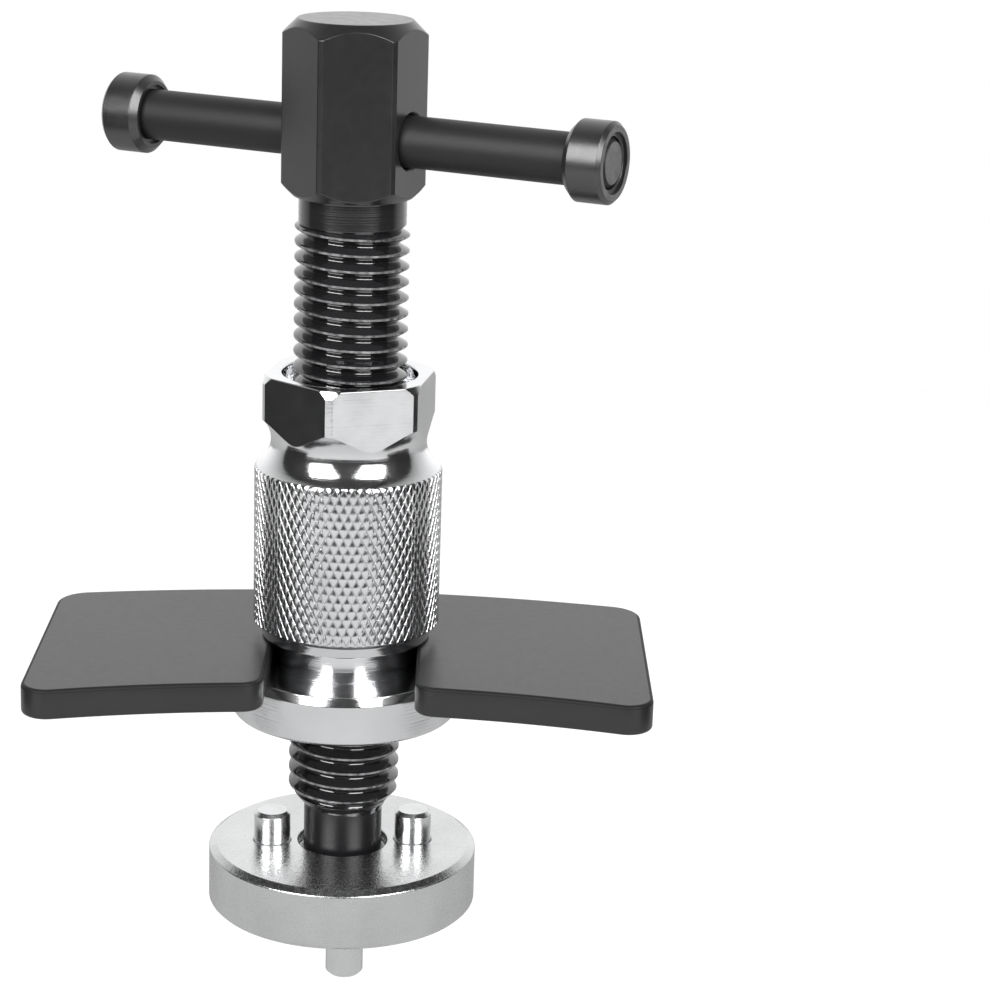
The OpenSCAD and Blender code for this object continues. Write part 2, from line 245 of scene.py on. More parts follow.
def slab(name: str, outline: Section, z0: float, z1: float, soft: float) -> bpy.types.Object:
    """Makes a flat plate from a counter-clockwise outline, with its long edges rounded.

    Args:
        name: Name of the piece.
        outline: Points of the outline, closely spaced on its curves.
        z0: Height of the lower face.
        z1: Height of the upper face.
        soft: Radius of the rounded edges.

    Returns:
        The new object.
    """
    steps, hold, least = 4, 0.25, 0.3
    n = len(outline)
    inward = []
    for i in range(n):
        a = (outline[i] - outline[i - 1]).normalized()
        b = (outline[(i + 1) % n] - outline[i]).normalized()
        mean = (a + b).normalized()
        inward.append(Vector((-mean.y, mean.x)) / max(least, mean.dot(b)))
    quarter = [(math.pi / 2.0) * k / steps for k in range(steps + 1)]
    rise = [(soft + hold, 0.0)] + [(soft * (1.0 - math.sin(q)), soft * (1.0 - math.cos(q))) for q in quarter]
    levels = [(d, z0 + h) for d, h in rise] + [(d, z1 - h) for d, h in reversed(rise)]
    verts = [(*(p + d * w), z) for d, z in levels for p, w in zip(outline, inward)]
    faces = [tuple(range(n)), tuple(range((len(levels) - 1) * n, len(levels) * n))]
    for k in range(len(levels) - 1):
        low, high = k * n, (k + 1) * n
        faces += [(low + i, low + (i + 1) % n, high + (i + 1) % n, high + i) for i in range(n)]
    return new_piece(name, verts, faces)


def toward(degrees: float) -> Vector:
    """Direction in the plane at an angle from the X axis."""
    a = math.radians(degrees)
    return Vector((math.cos(a), math.sin(a)))


def arc(centre: Vector, radius: float, start: float, end: float, count: int) -> Section:
    """Points along an arc.

    Args:
        centre: Centre of the arc.
        radius: Its radius.
        start: Direction of its first point, in degrees.
        end: Direction of its last point, in degrees.
        count: Number of straight pieces.

    Returns:
        The points in order, ends included.
    """
    return [centre + radius * toward(start + (end - start) * k / count) for k in range(count + 1)]


def baked(piece: bpy.types.Object) -> bpy.types.Object:
    """Replaces a piece's mesh by what its modifiers make of it, and removes them."""
    bpy.context.view_layer.update()
    graph = bpy.context.evaluated_depsgraph_get()
    mesh = bpy.data.meshes.new_from_object(piece.evaluated_get(graph), depsgraph=graph)
    old, piece.data = piece.data, mesh
    piece.modifiers.clear()
    bpy.data.meshes.remove(old)
    mesh.name = piece.name
    return piece


def cut(piece: bpy.types.Object, tools: Sequence[bpy.types.Object]) -> bpy.types.Object:
    """Cuts closed tools out of a piece and removes them.

    Args:
        piece: The piece that is cut.
        tools: The shapes that are taken away.

    Returns:
        The same piece.
    """
    for tool in tools:
        step = piece.modifiers.new("cut", "BOOLEAN")
        step.operation, step.solver, step.object = "DIFFERENCE", "EXACT", tool
    baked(piece)
    shade(piece.data)
    for tool in tools:
        mesh = tool.data
        bpy.data.objects.remove(tool)
        bpy.data.meshes.remove(mesh)
    return piece


def moved(piece: bpy.types.Object, x: float, y: float) -> bpy.types.Object:
    """Moves a piece's mesh sideways by millimetres, leaving its object at the origin."""
    piece.data.transform(Matrix.Translation(Vector((x, y, 0.0)) * MM))
    return piece


class Growth:
    """A Geometry Nodes tree with named sizes, baked to a plain mesh."""

    def __init__(self, name: str) -> None:
        """Starts an empty tree with one geometry output."""
        self.name = name
        self.tree = bpy.data.node_groups.new(name, "GeometryNodeTree")
        self.tree.interface.new_socket("Geometry", in_out="OUTPUT", socket_type="NodeSocketGeometry")
        self.inlet = self.tree.nodes.new("NodeGroupInput")
        self.outlet = self.tree.nodes.new("NodeGroupOutput")
        self.sizes: dict[str, Union[float, int]] = {}

    def size(self, name: str, value: Union[float, int]) -> bpy.types.NodeSocket:
        """Adds a named input to the tree.

        Args:
            name: Name of the input.
            value: What the modifier sets it to; a whole number makes a whole-number input.

        Returns:
            The socket that gives it inside the tree.
        """
        kind = "NodeSocketInt" if isinstance(value, int) else "NodeSocketFloat"
        item = self.tree.interface.new_socket(name, in_out="INPUT", socket_type=kind)
        self.sizes[item.identifier] = value
        return self.inlet.outputs[name]

    def node(self, kind: str, inputs: dict[str, object], **settings: object) -> bpy.types.Node:
        """Adds a node.

        Args:
            kind: Its type, without the usual prefix for geometry nodes.
            inputs: Sockets or plain values for its inputs, by name.
            settings: Its properties.

        Returns:
            The new node.
        """
        full = kind if kind.startswith("ShaderNode") else "GeometryNode" + kind
        made = self.tree.nodes.new(full)
        for key, value in settings.items():
            setattr(made, key, value)
        for key, value in inputs.items():
            socket = next(s for s in made.inputs if s.name == key and s.enabled)
            self.feed(socket, value)
        return made

    def feed(self, socket: bpy.types.NodeSocket, value: object) -> None:
        """Links a socket to another, or sets its plain value."""
        if isinstance(value, bpy.types.NodeSocket):
            self.tree.links.new(value, socket)
        else:
            socket.default_value = value

    def calc(self, operation: str, *terms: Value) -> bpy.types.NodeSocket:
        """Adds a Math node and gives its result."""
        made = self.tree.nodes.new("ShaderNodeMath")
        made.operation = operation
        for socket, term in zip(made.inputs, terms):
            self.feed(socket, term)
        return made.outputs[0]

    def vector(self, x: Value, y: Value, z: Value) -> bpy.types.NodeSocket:
        """Adds a Combine XYZ node and gives its vector."""
        return self.node("ShaderNodeCombineXYZ", {"X": x, "Y": y, "Z": z}).outputs[0]

    def ramp(self, value: Value, start: Value, end: Value, low: Value, high: Value) -> bpy.types.NodeSocket:
        """Maps a value between two limits to two others, and holds it there outside them."""
        names = ("Value", "From Min", "From Max", "To Min", "To Max")
        made = self.node("ShaderNodeMapRange", dict(zip(names, (value, start, end, low, high))), clamp=True)
        return made.outputs[0]

    def spot(self) -> tuple[bpy.types.NodeSocket, ...]:
        """Gives the X, Y and Z of the points that are being placed."""
        where = self.node("InputPosition", {}).outputs[0]
        return tuple(self.node("ShaderNodeSeparateXYZ", {"Vector": where}).outputs)

    def trimmed(self, shape: bpy.types.NodeSocket, limits: Sequence[Value], z: Value) -> bpy.types.NodeSocket:
        """Turns a shape down to the least of some radii.

        Args:
            shape: The geometry.
            limits: Radii that its points may not pass.
            z: The height that each point gets.

        Returns:
            The trimmed geometry.
        """
        x, y, _ = self.spot()
        reach = self.calc("SQRT", self.calc("ADD", self.calc("MULTIPLY", x, x), self.calc("MULTIPLY", y, y)))
        least: Value = reach
        for limit in limits:
            least = self.calc("MINIMUM", least, limit)
        share = self.calc("DIVIDE", least, reach)
        place = self.vector(self.calc("MULTIPLY", x, share), self.calc("MULTIPLY", y, share), z)
        return self.node("SetPosition", {"Geometry": shape, "Position": place}).outputs[0]

    def grown(self, shape: bpy.types.NodeSocket, material: bpy.types.Material) -> bpy.types.Object:
        """Ends the tree, runs it and bakes what it makes, shaded smooth.

        Args:
            shape: The geometry that the tree ends in.
            material: The finish that it gets.

        Returns:
            A plain mesh object.
        """
        real = self.node("RealizeInstances", {"Geometry": shape}).outputs[0]
        soft = self.node("SetShadeSmooth", {"Geometry": real, "Shade Smooth": True}).outputs[0]
        done = self.node("SetMaterial", {"Geometry": soft, "Material": material}).outputs[0]
        self.tree.links.new(done, self.outlet.inputs[0])
        piece = added(self.name, bpy.data.meshes.new(self.name))
        step = piece.modifiers.new("grow", "NODES")
        step.node_group = self.tree
        for identifier, value in self.sizes.items():
            step[identifier] = value
        return baked(piece)


class Effect(Enum):
    """Shader groups that the finishes share."""

    GRAIN = "fine_grain"
    LATHE = "lathe_lines"
    HANDLING = "handling_marks"

    @property
    def detail(self) -> float:
        """How many times the effect's noise is refined."""
        return {Effect.GRAIN: 2.0, Effect.LATHE: 3.0, Effect.HANDLING: 5.0}[self]

    def group(self) -> bpy.types.NodeTree:
        """Gives the shader group, made the first time it is asked for."""
        found = bpy.data.node_groups.get(self.value)
        if found:
            return found
        tree = bpy.data.node_groups.new(self.value, "ShaderNodeTree")
        for name in ("Scale", "Low", "High"):
            tree.interface.new_socket(name, in_out="INPUT", socket_type="NodeSocketFloat")
        tree.interface.new_socket("Value", in_out="OUTPUT", socket_type="NodeSocketFloat")
        inlet, outlet = tree.nodes.new("NodeGroupInput"), tree.nodes.new("NodeGroupOutput")
        noise, spread = tree.nodes.new("ShaderNodeTexNoise"), tree.nodes.new("ShaderNodeMapRange")
        coords = tree.nodes.new("ShaderNodeTexCoord").outputs["Object"]
        tree.links.new(inlet.outputs["Scale"], noise.inputs["Scale"])
        noise.inputs["Detail"].default_value = self.detail
        noise.inputs["Roughness"].default_value = NOISE_ROUGHNESS
        if self is Effect.LATHE:
            noise.noise_dimensions = "1D"
            apart = tree.nodes.new("ShaderNodeSeparateXYZ")
            tree.links.new(coords, apart.inputs[0])
            tree.links.new(apart.outputs["Z"], noise.inputs["W"])
        else:
            tree.links.new(coords, noise.inputs["Vector"])
        spread.inputs["From Min"].default_value = NOISE_LOW
        spread.inputs["From Max"].default_value = NOISE_HIGH
        tree.links.new(noise.outputs[0], spread.inputs["Value"])
        tree.links.new(inlet.outputs["Low"], spread.inputs["To Min"])
        tree.links.new(inlet.outputs["High"], spread.inputs["To Max"])
        tree.links.new(spread.outputs[0], outlet.inputs["Value"])
        return tree


@dataclass(frozen=True)
class Mark:
    """One use of a shared effect: how many features to the metre, and the values at its two ends."""

    effect: Effect
    scale: float
    low: float = 0.0
    high: float = 1.0


@dataclass(frozen=True)
class MetalFinish:
    """A finish on metal.

    shades are the two colours that handling marks vary between, relief is what the bump follows, and depth is
    how deep it goes, in millimetres.
    """

    name: str
    slot: str
    shades: tuple[tuple[float, float, float], tuple[float, float, float]]
    metallic: float
    roughness: Mark
    relief: tuple[Mark, ...]
    depth: float
    ior: float = 1.5
    blotch: float = 90.0

    def material(self) -> bpy.types.Material:
        """Gives the finish's material, made the first time it is asked for."""
        found = bpy.data.materials.get(self.name)
        if found:
            return found
        made = bpy.data.materials.new(self.name)
        made.use_nodes = True
        tree = made.node_tree
        shader = tree.nodes["Principled BSDF"]
        shader.inputs["Metallic"].default_value = self.metallic
        shader.inputs["IOR"].default_value = self.ior
        tint = tree.nodes.new("ShaderNodeMix")
        tint.data_type = "RGBA"
        tree.links.new(self.placed(tree, Mark(Effect.HANDLING, self.blotch)), tint.inputs["Factor"])
        colours = [s for s in tint.inputs if s.type == "RGBA"]
        for socket, shade_of in zip(colours, self.shades):
            socket.default_value = (*shade_of, 1.0)
        result = next(s for s in tint.outputs if s.type == "RGBA")
        tree.links.new(result, shader.inputs["Base Color"])
        tree.links.new(self.placed(tree, self.roughness), shader.inputs["Roughness"])
        height = None
        for mark in self.relief:
            part = self.placed(tree, mark)
            if height is not None:
                total = tree.nodes.new("ShaderNodeMath")
                tree.links.new(height, total.inputs[0])
                tree.links.new(part, total.inputs[1])
                part = total.outputs[0]
            height = part
        if height is not None:
            bump = tree.nodes.new("ShaderNodeBump")
            bump.inputs["Strength"].default_value = 1.0
            bump.inputs["Distance"].default_value = self.depth * MM
            tree.links.new(height, bump.inputs["Height"])
            tree.links.new(bump.outputs[0], shader.inputs["Normal"])
        return made

    @staticmethod
    def placed(tree: bpy.types.NodeTree, mark: Mark) -> bpy.types.NodeSocket:
        """Puts a shared effect into a material.

        Args:
            tree: The material's tree.
            mark: The effect and its values.

        Returns:
            The effect's output.
        """
        node = tree.nodes.new("ShaderNodeGroup")
        node.node_tree = mark.effect.group()
        for name, value in (("Scale", mark.scale), ("Low", mark.low), ("High", mark.high)):
            node.inputs[name].default_value = value
        return node.outputs["Value"]


BLACK_SCREW = MetalFinish(
    "black_oxide_screw", "black_screw", ((0.015, 0.015, 0.016), (0.018, 0.018, 0.019)), 0.0,
    Mark(Effect.GRAIN, 700.0, 0.22, 0.27), (Mark(Effect.GRAIN, 2600.0),), 0.0012, ior=1.8)
BLACK_TURNED = MetalFinish(
    "black_oxide_turned", "black_screw", ((0.012, 0.012, 0.013), (0.018, 0.018, 0.019)), 0.0,
    Mark(Effect.LATHE, 2600.0, 0.12, 0.26),
    (Mark(Effect.LATHE, 3000.0), Mark(Effect.GRAIN, 1800.0, 0.0, 0.6)), 0.006, ior=1.9)
BLACK_SPIGOT = MetalFinish(
    "black_oxide_spigot", "black_screw", ((0.008, 0.008, 0.009), (0.012, 0.012, 0.013)), 0.0,
    Mark(Effect.LATHE, 2600.0, 0.28, 0.38), (Mark(Effect.LATHE, 3000.0),), 0.004, ior=1.42)
WORN_CREST = MetalFinish(
    "worn_thread_crest", "black_screw", ((0.03, 0.03, 0.031), (0.5, 0.5, 0.51)), 0.6,
    Mark(Effect.HANDLING, 700.0, 0.22, 0.5), (Mark(Effect.GRAIN, 2600.0),), 0.012,
    ior=1.8, blotch=900.0)
BLACK_THREAD = MetalFinish(
    "black_oxide_thread", "black_screw", ((0.008, 0.008, 0.009), (0.014, 0.014, 0.015)), 0.0,
    Mark(Effect.HANDLING, 300.0, 0.04, 0.1), (Mark(Effect.GRAIN, 1900.0),), 0.003, ior=2.0)
BLACK_BAR = MetalFinish(
    "black_oxide_bar", "black_bar", ((0.014, 0.014, 0.015), (0.017, 0.017, 0.018)), 0.0,
    Mark(Effect.GRAIN, 700.0, 0.46, 0.5), (Mark(Effect.GRAIN, 2400.0),), 0.001, ior=1.42)
BLACK_CAP = MetalFinish(
    "black_oxide_cap", "black_bar", ((0.015, 0.015, 0.016), (0.02, 0.02, 0.021)), 0.0,
    Mark(Effect.GRAIN, 700.0, 0.27, 0.33), (Mark(Effect.GRAIN, 2400.0),), 0.001, ior=1.85)
# Painted sheen: a lighter, partly metallic base colour for the outward end faces of the bar and its caps,
# standing in for the light that these faces reflect
PAINTED_SHEEN_END = MetalFinish(
    "painted_sheen_bar_end", "black_bar", ((0.055, 0.055, 0.057), (0.1, 0.1, 0.103)), 0.25,
    Mark(Effect.GRAIN, 900.0, 0.3, 0.42), (Mark(Effect.GRAIN, 2400.0),), 0.004,
    ior=1.7, blotch=420.0)
BLACK_PLATE = MetalFinish(
    "black_coated_plate", "black_plate", ((0.013, 0.013, 0.014), (0.016, 0.016, 0.017)), 0.0,
    Mark(Effect.GRAIN, 700.0, 0.31, 0.35), (Mark(Effect.GRAIN, 1800.0),), 0.0015, ior=1.56)
PLATE_EDGE = MetalFinish(
    "black_coated_edge", "black_plate", ((0.011, 0.011, 0.012), (0.014, 0.014, 0.015)), 0.0,
    Mark(Effect.GRAIN, 700.0, 0.5, 0.56), (Mark(Effect.GRAIN, 1800.0),), 0.0015, ior=1.3)
BRIGHT_SLEEVE = MetalFinish(
    "bright_plated_sleeve", "bright_sleeve", ((0.74, 0.745, 0.755), (0.82, 0.825, 0.835)), 1.0,
    Mark(Effect.HANDLING, 240.0, 0.08, 0.18),
    (Mark(Effect.LATHE, 3200.0), Mark(Effect.GRAIN, 1500.0, 0.0, 0.2)), 0.0065)
BRIGHT_FLAT = MetalFinish(
    "bright_plated_flat", "bright_sleeve", ((0.74, 0.745, 0.755), (0.82, 0.825, 0.835)), 1.0,
    Mark(Effect.HANDLING, 240.0, 0.1, 0.2),
    (Mark(Effect.LATHE, 2600.0), Mark(Effect.GRAIN, 1500.0)), 0.0022)
BRIGHT_KNURL = MetalFinish(
    "bright_plated_knurl", "bright_sleeve", ((0.74, 0.745, 0.755), (0.84, 0.845, 0.855)), 1.0,
    Mark(Effect.GRAIN, 700.0, 0.12, 0.22), (Mark(Effect.GRAIN, 2600.0),), 0.004)
BRIGHT_COLLAR = MetalFinish(
    "bright_plated_collar", "bright_collar", ((0.72, 0.725, 0.735), (0.8, 0.805, 0.815)), 1.0,
    Mark(Effect.HANDLING, 240.0, 0.1, 0.22),
    (Mark(Effect.LATHE, 2800.0), Mark(Effect.GRAIN, 1500.0, 0.0, 0.4)), 0.003)
BEARING_STEEL = MetalFinish(
    "ground_bearing_steel", "bearing_steel", ((0.56, 0.57, 0.59), (0.64, 0.65, 0.67)), 1.0,
    Mark(Effect.HANDLING, 300.0, 0.14, 0.24), (Mark(Effect.LATHE, 4200.0),), 0.002)
CAGE_BRASS = MetalFinish(
    "stamped_brass_cage", "cage_brass", ((0.62, 0.44, 0.16), (0.72, 0.53, 0.22)), 1.0,
    Mark(Effect.HANDLING, 300.0, 0.24, 0.36), (Mark(Effect.GRAIN, 2400.0),), 0.004)
SPRING_STEEL = MetalFinish(
    "phosphated_spring_steel", "spring_steel", ((0.05, 0.05, 0.052), (0.075, 0.074, 0.074)), 0.4,
    Mark(Effect.HANDLING, 300.0, 0.36, 0.5), (Mark(Effect.GRAIN, 3000.0),), 0.004)
DISC_NICKEL = MetalFinish(
    "satin_nickel_disc", "disc_nickel", ((0.6, 0.605, 0.61), (0.7, 0.705, 0.71)), 1.0,
    Mark(Effect.GRAIN, 1500.0, 0.2, 0.3),
    (Mark(Effect.GRAIN, 2300.0), Mark(Effect.GRAIN, 900.0, 0.0, 0.8)), 0.011)
PIN_STEEL = MetalFinish(
    "ground_pin_steel", "pin_steel", ((0.68, 0.685, 0.69), (0.76, 0.765, 0.77)), 1.0,
    Mark(Effect.HANDLING, 400.0, 0.2, 0.32),
    (Mark(Effect.LATHE, 4200.0), Mark(Effect.GRAIN, 2200.0, 0.0, 0.8)), 0.004)
MAGNET_PLATE = MetalFinish(
    "plated_magnet", "magnet", ((0.64, 0.645, 0.65), (0.72, 0.725, 0.73)), 1.0,
    Mark(Effect.HANDLING, 500.0, 0.16, 0.26), (Mark(Effect.GRAIN, 2600.0),), 0.003)


def dressed(piece: bpy.types.Object, body: str, finish: MetalFinish, *nodes: str) -> bpy.types.Object:
    """Gives a piece its finish and its place in the frame.

    Args:
        piece: The piece.
        body: The body that it rides on.
        finish: Its finish.
        nodes: The solids of the construction that it stands for.

    Returns:
        The same piece.
    """
    piece.data.materials.clear()
    piece.data.materials.append(finish.material())
    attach(piece, body)
    if nodes:
        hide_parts(*nodes)
    log.info("%s on %s, %d faces, %s", piece.name, body, len(piece.data.polygons), finish.name)
    return piece


def touched_up(piece: bpy.types.Object, finish: MetalFinish, where: Callable[[Vector, Vector], bool]) -> None:
    """Gives some faces of a dressed piece another finish.

    Args:
        piece: The piece.
        finish: The finish that the faces get.
        where: Says from a face's middle in millimetres and its normal whether it gets the finish.
    """
    piece.data.materials.append(finish.material())
    last = len(piece.data.materials) - 1
    for face in piece.data.polygons:
        if where(face.center / MM, face.normal):
            face.material_index = last


@dataclass
class LeadScrew:
    """Screw with hexagon head, relief, right-hand thread, spigot and square drive, and the drive's magnet.

    The thread is a loop swept along a helix. The loop reaches a little past half a pitch to each side, so
    that the turns join. The thread fades into the root below the relief, and its lower tip is turned down.
    """

    thread_d: float = 18.0
    pitch: float = 2.5
    crest_w: float = 0.42
    crest_soft: float = 0.12
    root_soft: float = 0.5
    thread_depth: float = 1.5
    crest_z: float = 0.83
    thread_z: float = -29.164
    thread_tip: float = 3.0
    relief_z: float = 67.536
    relief_d: float = 16.9
    head_z: float = 71.886
    head_len: float = 27.2
    head_af: float = 19.8
    head_corner_d: float = 22.4
    top_chamfer: float = 2.3
    low_chamfer: float = 1.75
    spigot_d: float = 12.8
    spigot_z: float = -38.014
    drive_af: float = 9.5
    drive_corner_d: float = 12.0
    drive_z: float = -44.014
    drive_turn: float = 4.35
    drive_tip: float = 0.5
    magnet_d: float = 6.0
    magnet_len: float = 4.0
    pocket_gap: float = 0.04
    run_out: float = 0.9
    fade_from: float = 0.45
    fade_to: float = 0.1
    fade_depth: float = 0.6
    tip_depth: float = 0.1
    flank_angle: float = 30.0
    loop_points: int = 26
    loop_reach: float = 0.505
    loop_sink: float = 0.5
    turn_steps: int = 54
    spare_turns: float = 1.5
    worn_depth: float = 0.06
    head_margin: float = 0.1
    facets: int = 120
    magnet_facets: int = 48

    @property
    def core_r(self) -> float:
        """Radius of the thread's root."""
        return self.thread_d / 2.0 - self.thread_depth

    @property
    def tip_slope(self) -> float:
        """Radius gained for each millimetre up the chamfer at the thread's lower end."""
        return (self.thread_d - self.spigot_d) / 2.0 / self.thread_tip

    def section(self, a: float) -> Section:
        """Gives the screw's section in one direction, from the top of its head to its magnet pocket."""
        head = flat_radius(a, self.head_af, self.head_corner_d, 6, HandleBar.turn)
        drive = flat_radius(a, self.drive_af, self.drive_corner_d, 4, self.drive_turn)
        top, corner = self.head_z + self.head_len, self.head_corner_d / 2.0
        top_r, low_r = corner - self.top_chamfer, corner - self.low_chamfer
        relief, spigot = self.relief_d / 2.0, self.spigot_d / 2.0
        pocket = self.magnet_d / 2.0 + self.pocket_gap
        cone_z = self.thread_z + (self.core_r - spigot) / self.tip_slope
        return rounded([
            Corner(0.0, top), Corner(top_r, top, 0.3), Corner(head, top - (head - top_r), 0.2),
            Corner(head, self.head_z + (head - low_r), 0.2), Corner(low_r, self.head_z, 0.2),
            Corner(relief, self.head_z, 0.3), Corner(relief, self.relief_z, 0.15),
            Corner(self.core_r, self.relief_z - self.run_out, 0.3), Corner(self.core_r, cone_z, 0.1),
            Corner(spigot, self.thread_z, 0.15), Corner(spigot, self.spigot_z, 0.15),
            Corner(drive, self.spigot_z, 0.1), Corner(drive, self.drive_z + self.drive_tip, 0.15),
            Corner(drive - self.drive_tip, self.drive_z, 0.1), Corner(pocket, self.drive_z, 0.1),
            Corner(pocket, self.drive_z + self.magnet_len), Corner(0.0, self.drive_z + self.magnet_len),
        ])

    def body(self) -> bpy.types.Object:
        """Makes the screw without its thread, with the cross hole for the bar."""
        marks = flat_marks(self.head_af, self.head_corner_d, 6, HandleBar.turn)
        marks += flat_marks(self.drive_af, self.drive_corner_d, 4, self.drive_turn)
        piece = turned("lead_screw_body", self.section, columns(self.facets, marks))
        return cut(piece, [HandleBar().hole_tool(self.head_af)])

    def thread(self) -> bpy.types.Object:
        """Winds the thread up the screw, turned down at its lower tip and run out at the relief."""
        grow = Growth("lead_screw_thread")
        pitch = grow.size("Pitch", self.pitch * MM)
        turns = grow.size("Turns", (self.relief_z - self.thread_z) / self.pitch + self.spare_turns)
        depth = grow.size("Depth", self.thread_depth * MM)
        outer = grow.size("Outer radius", self.thread_d / 2.0 * MM)
        low = grow.size("Lower end", self.thread_z * MM)
        high = grow.size("Upper end", self.relief_z * MM)
        start = grow.size("Start", self.start_z() * MM)
        helix = grow.node("CurveSpiral", {
            "Resolution": self.turn_steps, "Rotations": turns, "Start Radius": outer, "End Radius": outer,
            "Height": grow.calc("MULTIPLY", pitch, turns)}).outputs[0]
        upright = grow.node("SetCurveNormal", {"Curve": helix}, mode="Z_UP").outputs[0]
        loop = self.ridge_loop(grow, pitch, depth)
        ridge = grow.node("CurveToMesh", {
            "Curve": upright, "Profile Curve": loop, "Fill Caps": True}).outputs[0]
        raised = grow.node("Transform", {
            "Geometry": ridge, "Translation": grow.vector(0.0, 0.0, start)}).outputs[0]
        _, _, z = grow.spot()
        tip_top = grow.calc("ADD", low, self.thread_tip * MM)
        tip = grow.ramp(z, low, tip_top, (self.spigot_d / 2.0 - self.tip_depth) * MM, outer)
        fade_from = grow.calc("SUBTRACT", high, self.fade_from * MM)
        fade_to = grow.calc("SUBTRACT", high, self.fade_to * MM)
        fade = grow.ramp(z, fade_from, fade_to, outer, (self.relief_d / 2.0 - self.fade_depth) * MM)
        trimmed = grow.trimmed(raised, (tip, fade), z)
        piece = grow.grown(trimmed, BLACK_THREAD.material())
        shade(piece.data)
        return piece

    def ridge_loop(
        self, grow: Growth, pitch: bpy.types.NodeSocket, depth: bpy.types.NodeSocket
    ) -> bpy.types.NodeSocket:
        """Draws the loop that is swept along the helix: one ridge with half of each root beside it.

        Args:
            grow: The tree that gets the nodes.
            pitch: The thread's pitch.
            depth: Its depth.

        Returns:
            The loop, with X pointing to the screw's axis.
        """
        crest = grow.size("Crest width", self.crest_w * MM)
        crest_soft = grow.size("Crest rounding", self.crest_soft * MM)
        root_soft = grow.size("Root rounding", self.root_soft * MM)
        points = self.loop_points
        line = grow.node("CurvePrimitiveLine", {}).outputs[0]
        dotted = grow.node("ResampleCurve", {"Curve": line, "Count": points}).outputs[0]
        index = grow.node("InputIndex", {}).outputs[0]
        share = grow.ramp(index, 1.0, points - 2.0, self.loop_reach, -self.loop_reach)
        along = grow.calc("MULTIPLY", share, pitch)
        beside = grow.calc("SUBTRACT", grow.calc("ABSOLUTE", along), grow.calc("MULTIPLY", crest, 0.5))
        steep = 1.0 / math.tan(math.radians(self.flank_angle))
        flank = grow.calc("SUBTRACT", depth, grow.calc("MULTIPLY", beside, steep))
        tooth = grow.calc("SMOOTH_MAX", grow.calc("SMOOTH_MIN", flank, depth, crest_soft), 0.0, root_soft)
        first, last = grow.calc("LESS_THAN", index, 0.5), grow.calc("GREATER_THAN", index, points - 1.5)
        ends = grow.calc("ADD", first, last)
        sunk = grow.calc("MULTIPLY_ADD", ends, self.loop_sink * MM, grow.calc("SUBTRACT", depth, tooth))
        place = grow.vector(sunk, along, 0.0)
        drawn = grow.node("SetPosition", {"Geometry": dotted, "Position": place}).outputs[0]
        return grow.node("SetSplineCyclic", {"Geometry": drawn, "Cyclic": True}).outputs[0]

    def start_z(self) -> float:
        """Height of the helix where it starts on the X axis, below the thread and in step with its crests."""
        return self.crest_z + self.pitch * math.floor((self.thread_z - self.crest_z) / self.pitch)

    def magnet(self) -> bpy.types.Object:
        """Makes the round magnet in the drive's end."""
        r, z0 = self.magnet_d / 2.0, self.drive_z
        return turned("drive_magnet_disc", rounded([
            Corner(0.0, z0), Corner(r, z0, 0.25), Corner(r, z0 + self.magnet_len, 0.25),
            Corner(0.0, z0 + self.magnet_len)]), columns(self.magnet_facets))

    def build(self) -> None:
        """Makes the screw's pieces and dresses them."""
        screw = dressed(self.body(), "screw", BLACK_SCREW, "lead_screw")
        touched_up(screw, BLACK_TURNED, lambda at, way: self.thread_z < at.z < self.head_z - self.head_margin)
        touched_up(screw, BLACK_SPIGOT, lambda at, way: at.z <= self.thread_z)
        worn = self.thread_d / 2.0 - self.worn_depth
        thread = dressed(self.thread(), "screw", BLACK_THREAD)
        touched_up(thread, WORN_CREST, lambda at, way: math.hypot(at.x, at.y) > worn)
        dressed(self.magnet(), "screw_carriage", MAGNET_PLATE, "drive_magnet")


class BarEnd(Enum):
    """The two ends of the handle bar."""

    NEAR = 0
    FAR = 1


